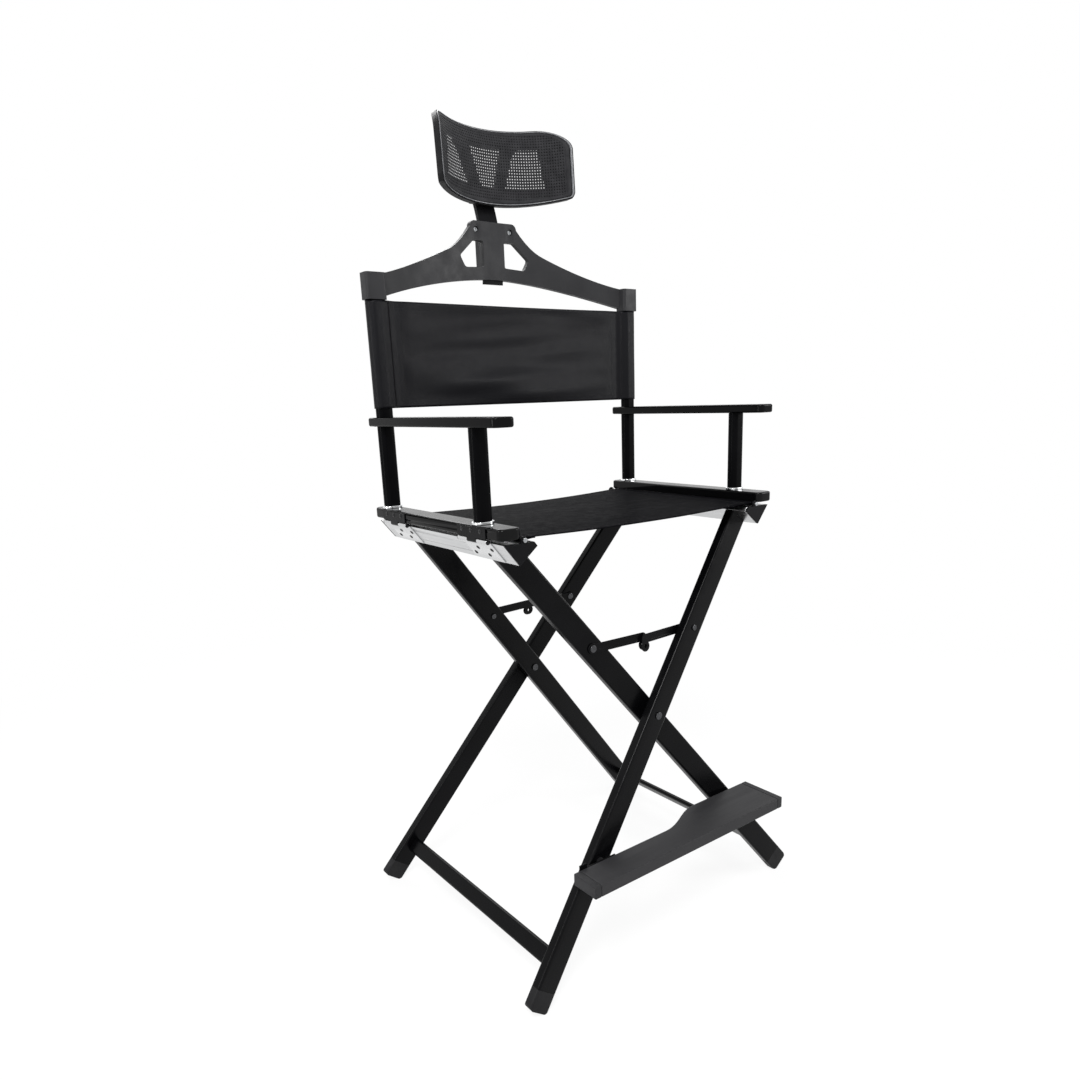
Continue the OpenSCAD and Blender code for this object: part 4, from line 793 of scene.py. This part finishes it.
# the front panel and both sewn-back ends are one piece; a sleeve rides each side frame
backPanel = joined("backPanel", [backStrip("frontPanel", leftFront, rightFront),
                                 backStrip("leftEnd", 0, leftRear),
                                 backStrip("rightEnd", rightRear, backSpan)])
sleeves = {"left": backStrip("backSleeveLeft", leftRear, leftFront),
           "right": backStrip("backSleeveRight", rightFront, rightRear)}
backStitches = []
for x in (back["sewn"], back["sewn"] - back["stitchGap"]):
    for sign, which in ((-1, -1), (1, 0)):
        u = lengthWhere(sign * x, which)
        line = [(u, back["low"] + back["stitchEdge"]), (u, back["high"] - back["stitchEdge"])]
        backStitches += stitchLine(backSurface, line, back["thick"] / 2)
for v in (back["low"] + back["stitchTop"], back["high"] - back["stitchTop"]):
    line = [(leftFront + back["stitchGap"], v), (rightFront - back["stitchGap"], v)]
    backStitches += stitchLine(backSurface, line, back["thick"] / 2)
backThread = placed("backStitches", stitchTemplate, backStitches, "thread")
for piece in (backPanel, backThread):
    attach(piece, "left_side")
    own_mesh(piece)
for side, piece in sleeves.items():
    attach(piece, side + "_side")
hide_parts("back_canvas")


# headrest: its net and trim follow the hollow front of its frame; z is up along the leaning head
head = {
    "tilt": Vector((0, 0.27024, 1.25045)), "lean": 3, "face": 0.027, "radius": 0.161,
    "flare": 0.085, "flareStart": 0.072, "width": 0.272, "low": -0.015, "height": 0.128,
    "corner": 0.020, "topCorner": 0.040, "topEase": 1.2, "dip": 0.002, "rise": 0.008,
    "netDepth": 0.0007, "outlinePoints": 120, "outlineGap": 0.00002,
}
headTurn = Matrix.Translation(head["tilt"]) @ Matrix.Rotation(math.radians(-head["lean"]), 4, "X")


def headRadius(z, depth):
    # the hollow's radius at a height, depth behind its front; it flares backward near the top
    over = max(0.0, z - head["flareStart"])
    bend = head["flare"] - depth
    return head["radius"] + head["flare"] - math.sqrt(bend * bend - over * over)


def headPoint(x, z, depth=head["netDepth"]):
    # x is the flat place across the head, as in the CAD outline
    radius = headRadius(z, depth)
    hollow = math.sqrt(max(0, radius * radius - x * x))
    return headTurn @ Vector((x, -head["face"] - head["radius"] + hollow, z))


def headNormal(x, z, step=0.0005):
    # out of the hollow front, and the way up along it
    side = headPoint(x + step, z) - headPoint(x - step, z)
    rise = headPoint(x, z + step) - headPoint(x, z - step)
    return side.cross(rise).normalized(), rise.normalized()


def headEdges(x, inset):
    # lowest and highest place of the outline at x, or nothing outside it
    half = head["width"] / 2 - inset
    if abs(x) >= half:
        return None

    def bow(chord, rise):
        return (chord ** 2 + rise ** 2) / (2 * rise)

    def rounding(corner):
        radius = corner - inset
        turn = abs(x) - (half - radius)
        return radius - math.sqrt(max(0, radius * radius - turn * turn)) if turn > 0 else 0

    lower = bow(head["width"] / 2 - head["corner"] / 2, head["rise"])
    upper = bow(head["width"] / 2 - head["topCorner"] * head["topEase"], head["dip"])
    bottom = max(head["low"] + inset + rounding(head["corner"]),
                 head["low"] + lower - math.sqrt((lower - inset) ** 2 - x * x))
    top = head["low"] + head["height"] - inset - rounding(head["topCorner"])
    reach = (upper + inset) ** 2 - x * x
    if reach > 0:
        top = min(top, head["low"] + head["height"] - head["dip"] + upper - math.sqrt(reach))
    return bottom, top


# net: upright and level bands, each given as half its width and half its thickness
netShape = {
    "columnPitch": 0.0047, "rowPitch": 0.0048, "reach": 0.17, "widest": 1.3, "inset": 0.005, "margin": 0.3,
    "sides": 8, "stations": 5, "overlap": 1.01, "waist": 0.16, "sway": 0.00012,
    "upright": (0.00148, 0.00038), "level": (0.00150, 0.00036),
}


def netCell():
    # one crossing: an upright band over a level one, both flat tubes
    points, faces = [], []
    sides, stations = netShape["sides"], netShape["stations"]

    def tube(length, upright, half, thick, sway):
        base = len(points)
        for k in range(stations):
            t = k / (stations - 1) - 0.5
            for i in range(sides):
                turn = 2 * math.pi * i / sides
                across = half * math.cos(turn) * (1 - netShape["waist"] * math.cos(2 * math.pi * t))
                deep = thick * math.sin(turn) + sway * math.cos(2 * math.pi * t)
                points.append(Vector((across, t * length, deep) if upright else (t * length, across, deep)))
        for k in range(stations - 1):
            for i in range(sides):
                j = (i + 1) % sides
                quad = (base + k * sides + i, base + k * sides + j,
                        base + (k + 1) * sides + j, base + (k + 1) * sides + i)
                faces.append(quad if upright else tuple(reversed(quad)))

    tube(netShape["rowPitch"] * netShape["overlap"], True, *netShape["upright"], -netShape["sway"])
    tube(netShape["columnPitch"] * netShape["overlap"], False, *netShape["level"], netShape["sway"])
    return turnedOut(meshFrom("netCell", points, faces))


def netSpots():
    spots = []
    inset, margin = netShape["inset"], netShape["rowPitch"] * netShape["margin"]
    columns = int(netShape["reach"] / netShape["columnPitch"]) + 1
    for i in range(-columns, columns + 1):
        arc = (i + 0.5) * netShape["columnPitch"] / head["radius"]
        edges = headEdges(head["radius"] * math.sin(arc), inset)
        if abs(arc) > netShape["widest"] or not edges:
            continue
        z = head["low"]
        while z < edges[1] - margin:
            # columns keep their angle, so the cells widen with the flare
            x = headRadius(z, head["netDepth"]) * math.sin(arc)
            inside = headEdges(x, inset)
            if inside and inside[0] + margin < z < inside[1] - margin:
                normal, rise = headNormal(x, z)
                spots.append((headPoint(x, z), normal, rise.cross(normal)))
            z += netShape["rowPitch"] * (headNormal(0, z)[1].z / headNormal(0, 0)[1].z)
    return spots


netTemplate = hiddenTemplate("netTemplate", netCell())
cells = netSpots()
net = placed("headNet", netTemplate, cells, "strand")
print("net cells:", len(cells), "triangles:", sum(len(face.vertices) - 2 for face in net.data.polygons))

# trim: bands between two insets of the outline, each with a section of (share across, depth)
trim = {
    "steps": 260,
    "bindingInsets": (0.0042, 0.0095),
    "bindingSection": [(0, 0.0011), (0, 0.0004), (0.25, -0.0001), (0.75, -0.0001), (1, 0.0004), (1, 0.0011)],
    "pipingInsets": (0.0018, 0.0036), "pipingDepth": 0.0003, "pipingCrown": 0.0011, "pipingSides": 10,
}


def outlineLoop(inset):
    # the outline at an inset, anticlockwise, as (x, z)
    half = head["width"] / 2 - inset - head["outlineGap"]
    xs = [half * math.sin(math.radians(turn)) for turn in evenly(-90, 90, head["outlinePoints"])]
    lower = [(x, headEdges(x, inset)[0]) for x in xs]
    upper = [(x, headEdges(x, inset)[1]) for x in reversed(xs)]
    return lower + upper


def loopBand(name, insets, section, finish):
    outer, inner = outlineLoop(insets[0]), outlineLoop(insets[1])
    outerLengths, outerAt = alongPath(outer + outer[:1])
    innerLengths, innerAt = alongPath(inner + inner[:1])
    points, faces, steps, sides = [], [], trim["steps"], len(section)
    for k in range(steps):
        a, b = outerAt(outerLengths[-1] * k / steps)[0], innerAt(innerLengths[-1] * k / steps)[0]
        for share, depth in section:
            points.append(headPoint(a[0] + (b[0] - a[0]) * share, a[1] + (b[1] - a[1]) * share, depth))
    for k in range(steps):
        n = (k + 1) % steps
        for i in range(sides):
            j = (i + 1) % sides
            faces.append((k * sides + i, k * sides + j, n * sides + j, n * sides + i))
    mesh = turnedOut(meshFrom(name, points, faces))
    mesh.materials.append(materials[finish])
    return newObject(name, mesh)


pipingSection = [(0.5 + 0.5 * math.cos(turn), trim["pipingDepth"] - trim["pipingCrown"] * math.sin(turn))
                 for turn in evenly(0, 2 * math.pi, trim["pipingSides"] + 1)[:-1]]
binding = loopBand("netBinding", trim["bindingInsets"], trim["bindingSection"], "strand")
piping = loopBand("headPiping", trim["pipingInsets"], pipingSection, "pipingGreyAndHighlight")
for piece in (net, binding):
    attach(piece, "headrest")
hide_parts("headrest_net")
finishPiece(piping, "headrest_piping")
print("headrest bound and piped")


# plain even light, a white surround and a pale floor that keeps the shadow
surround = {
    "ambient": 0.5, "floorTone": 0.9, "floorHalf": 9,
    "floorShare": 0.86, "clearFrom": 0.7, "clearTo": 2.2,
}
lamps = {
    "key": {"place": (-1.6, -1.7, 2.9), "target": (0, 0, 0.7), "size": (1.0, 1.0), "power": 95},
    "fill": {"place": (2.2, -1.9, 1.5), "target": (0, 0, 0.7), "size": (0.9, 0.9), "power": 34},
    "rim": {"place": (0.6, 2.4, 2.4), "target": (0, 0, 0.7), "size": (1.6, 1.6), "power": 40},
    "side": {"place": (-2.8, 0.1, 1.3), "target": (0, 0, 0.9), "size": (0.4, 1.8), "power": 26},
}
white = (1, 1, 1, 1)


def seenDirectly(tree):
    # 1 for what the camera, a reflection or clear glass shows, 0 for the light on the object
    path = addNode(tree, "ShaderNodeLightPath")
    value = path.outputs["Is Camera Ray"]
    for kind in ("Is Glossy Ray", "Is Transmission Ray"):
        larger = addNode(tree, "ShaderNodeMath", operation="MAXIMUM")
        link(tree, value, larger.inputs[0])
        link(tree, path.outputs[kind], larger.inputs[1])
        value = larger.outputs[0]
    return value


def mixShaders(tree, share, first, second, out):
    mix = addNode(tree, "ShaderNodeMixShader")
    link(tree, share, mix.inputs["Fac"])
    link(tree, first.outputs[0], mix.inputs[1])
    link(tree, second.outputs[0], mix.inputs[2])
    link(tree, mix.outputs[0], addNode(tree, out).inputs["Surface"])


def makeSurround():
    world = bpy.data.worlds.new("surround")
    world.use_nodes = True
    tree = world.node_tree
    tree.nodes.clear()
    felt = addNode(tree, "ShaderNodeBackground", {"Color": white, "Strength": surround["ambient"]})
    seen = addNode(tree, "ShaderNodeBackground", {"Color": white, "Strength": 1})
    mixShaders(tree, seenDirectly(tree), felt, seen, "ShaderNodeOutputWorld")
    scene.world = world


def makeFloor():
    finish = bpy.data.materials.new("floor")
    finish.use_nodes = True
    tree = finish.node_tree
    tree.nodes.clear()
    tone, size = surround["floorTone"], surround["floorHalf"]
    plain = addNode(tree, "ShaderNodeBsdfDiffuse", {"Color": (tone, tone, tone, 1)})
    glow = addNode(tree, "ShaderNodeEmission", {"Color": white, "Strength": 1})
    # the floor clears to plain white away from the object, so that no edge of it shows
    far = addNode(tree, "ShaderNodeVectorMath", operation="LENGTH")
    link(tree, addNode(tree, "ShaderNodeTexCoord").outputs["Object"], far.inputs[0])
    clear = spread(tree, far.outputs["Value"], surround["floorShare"], 1,
                   surround["clearFrom"], surround["clearTo"])
    share = addNode(tree, "ShaderNodeMath", operation="MULTIPLY")
    link(tree, seenDirectly(tree), share.inputs[0])
    link(tree, clear, share.inputs[1])
    mixShaders(tree, share.outputs[0], plain, glow, "ShaderNodeOutputMaterial")
    corners = [(-size, -size, 0), (size, -size, 0), (size, size, 0), (-size, size, 0)]
    mesh = meshFrom("floor", corners, [(0, 1, 2, 3)])
    mesh.materials.append(finish)
    newObject("floor", mesh)


def addLamp(name, lamp):
    data = bpy.data.lights.new(name, "AREA")
    data.shape, data.energy = "RECTANGLE", lamp["power"]
    data.size, data.size_y = lamp["size"]
    turn = (Vector(lamp["place"]) - Vector(lamp["target"])).to_track_quat("Z", "Y").to_matrix().to_4x4()
    light = bpy.data.objects.new(name, data)
    light.matrix_world = Matrix.Translation(lamp["place"]) @ turn
    scene.collection.objects.link(light)


makeSurround()
makeFloor()
for name, lamp in lamps.items():
    addLamp(name, lamp)
scene.view_settings.view_transform = "Standard"
print("surround, floor and lamps set:", len(lamps), "lamps")
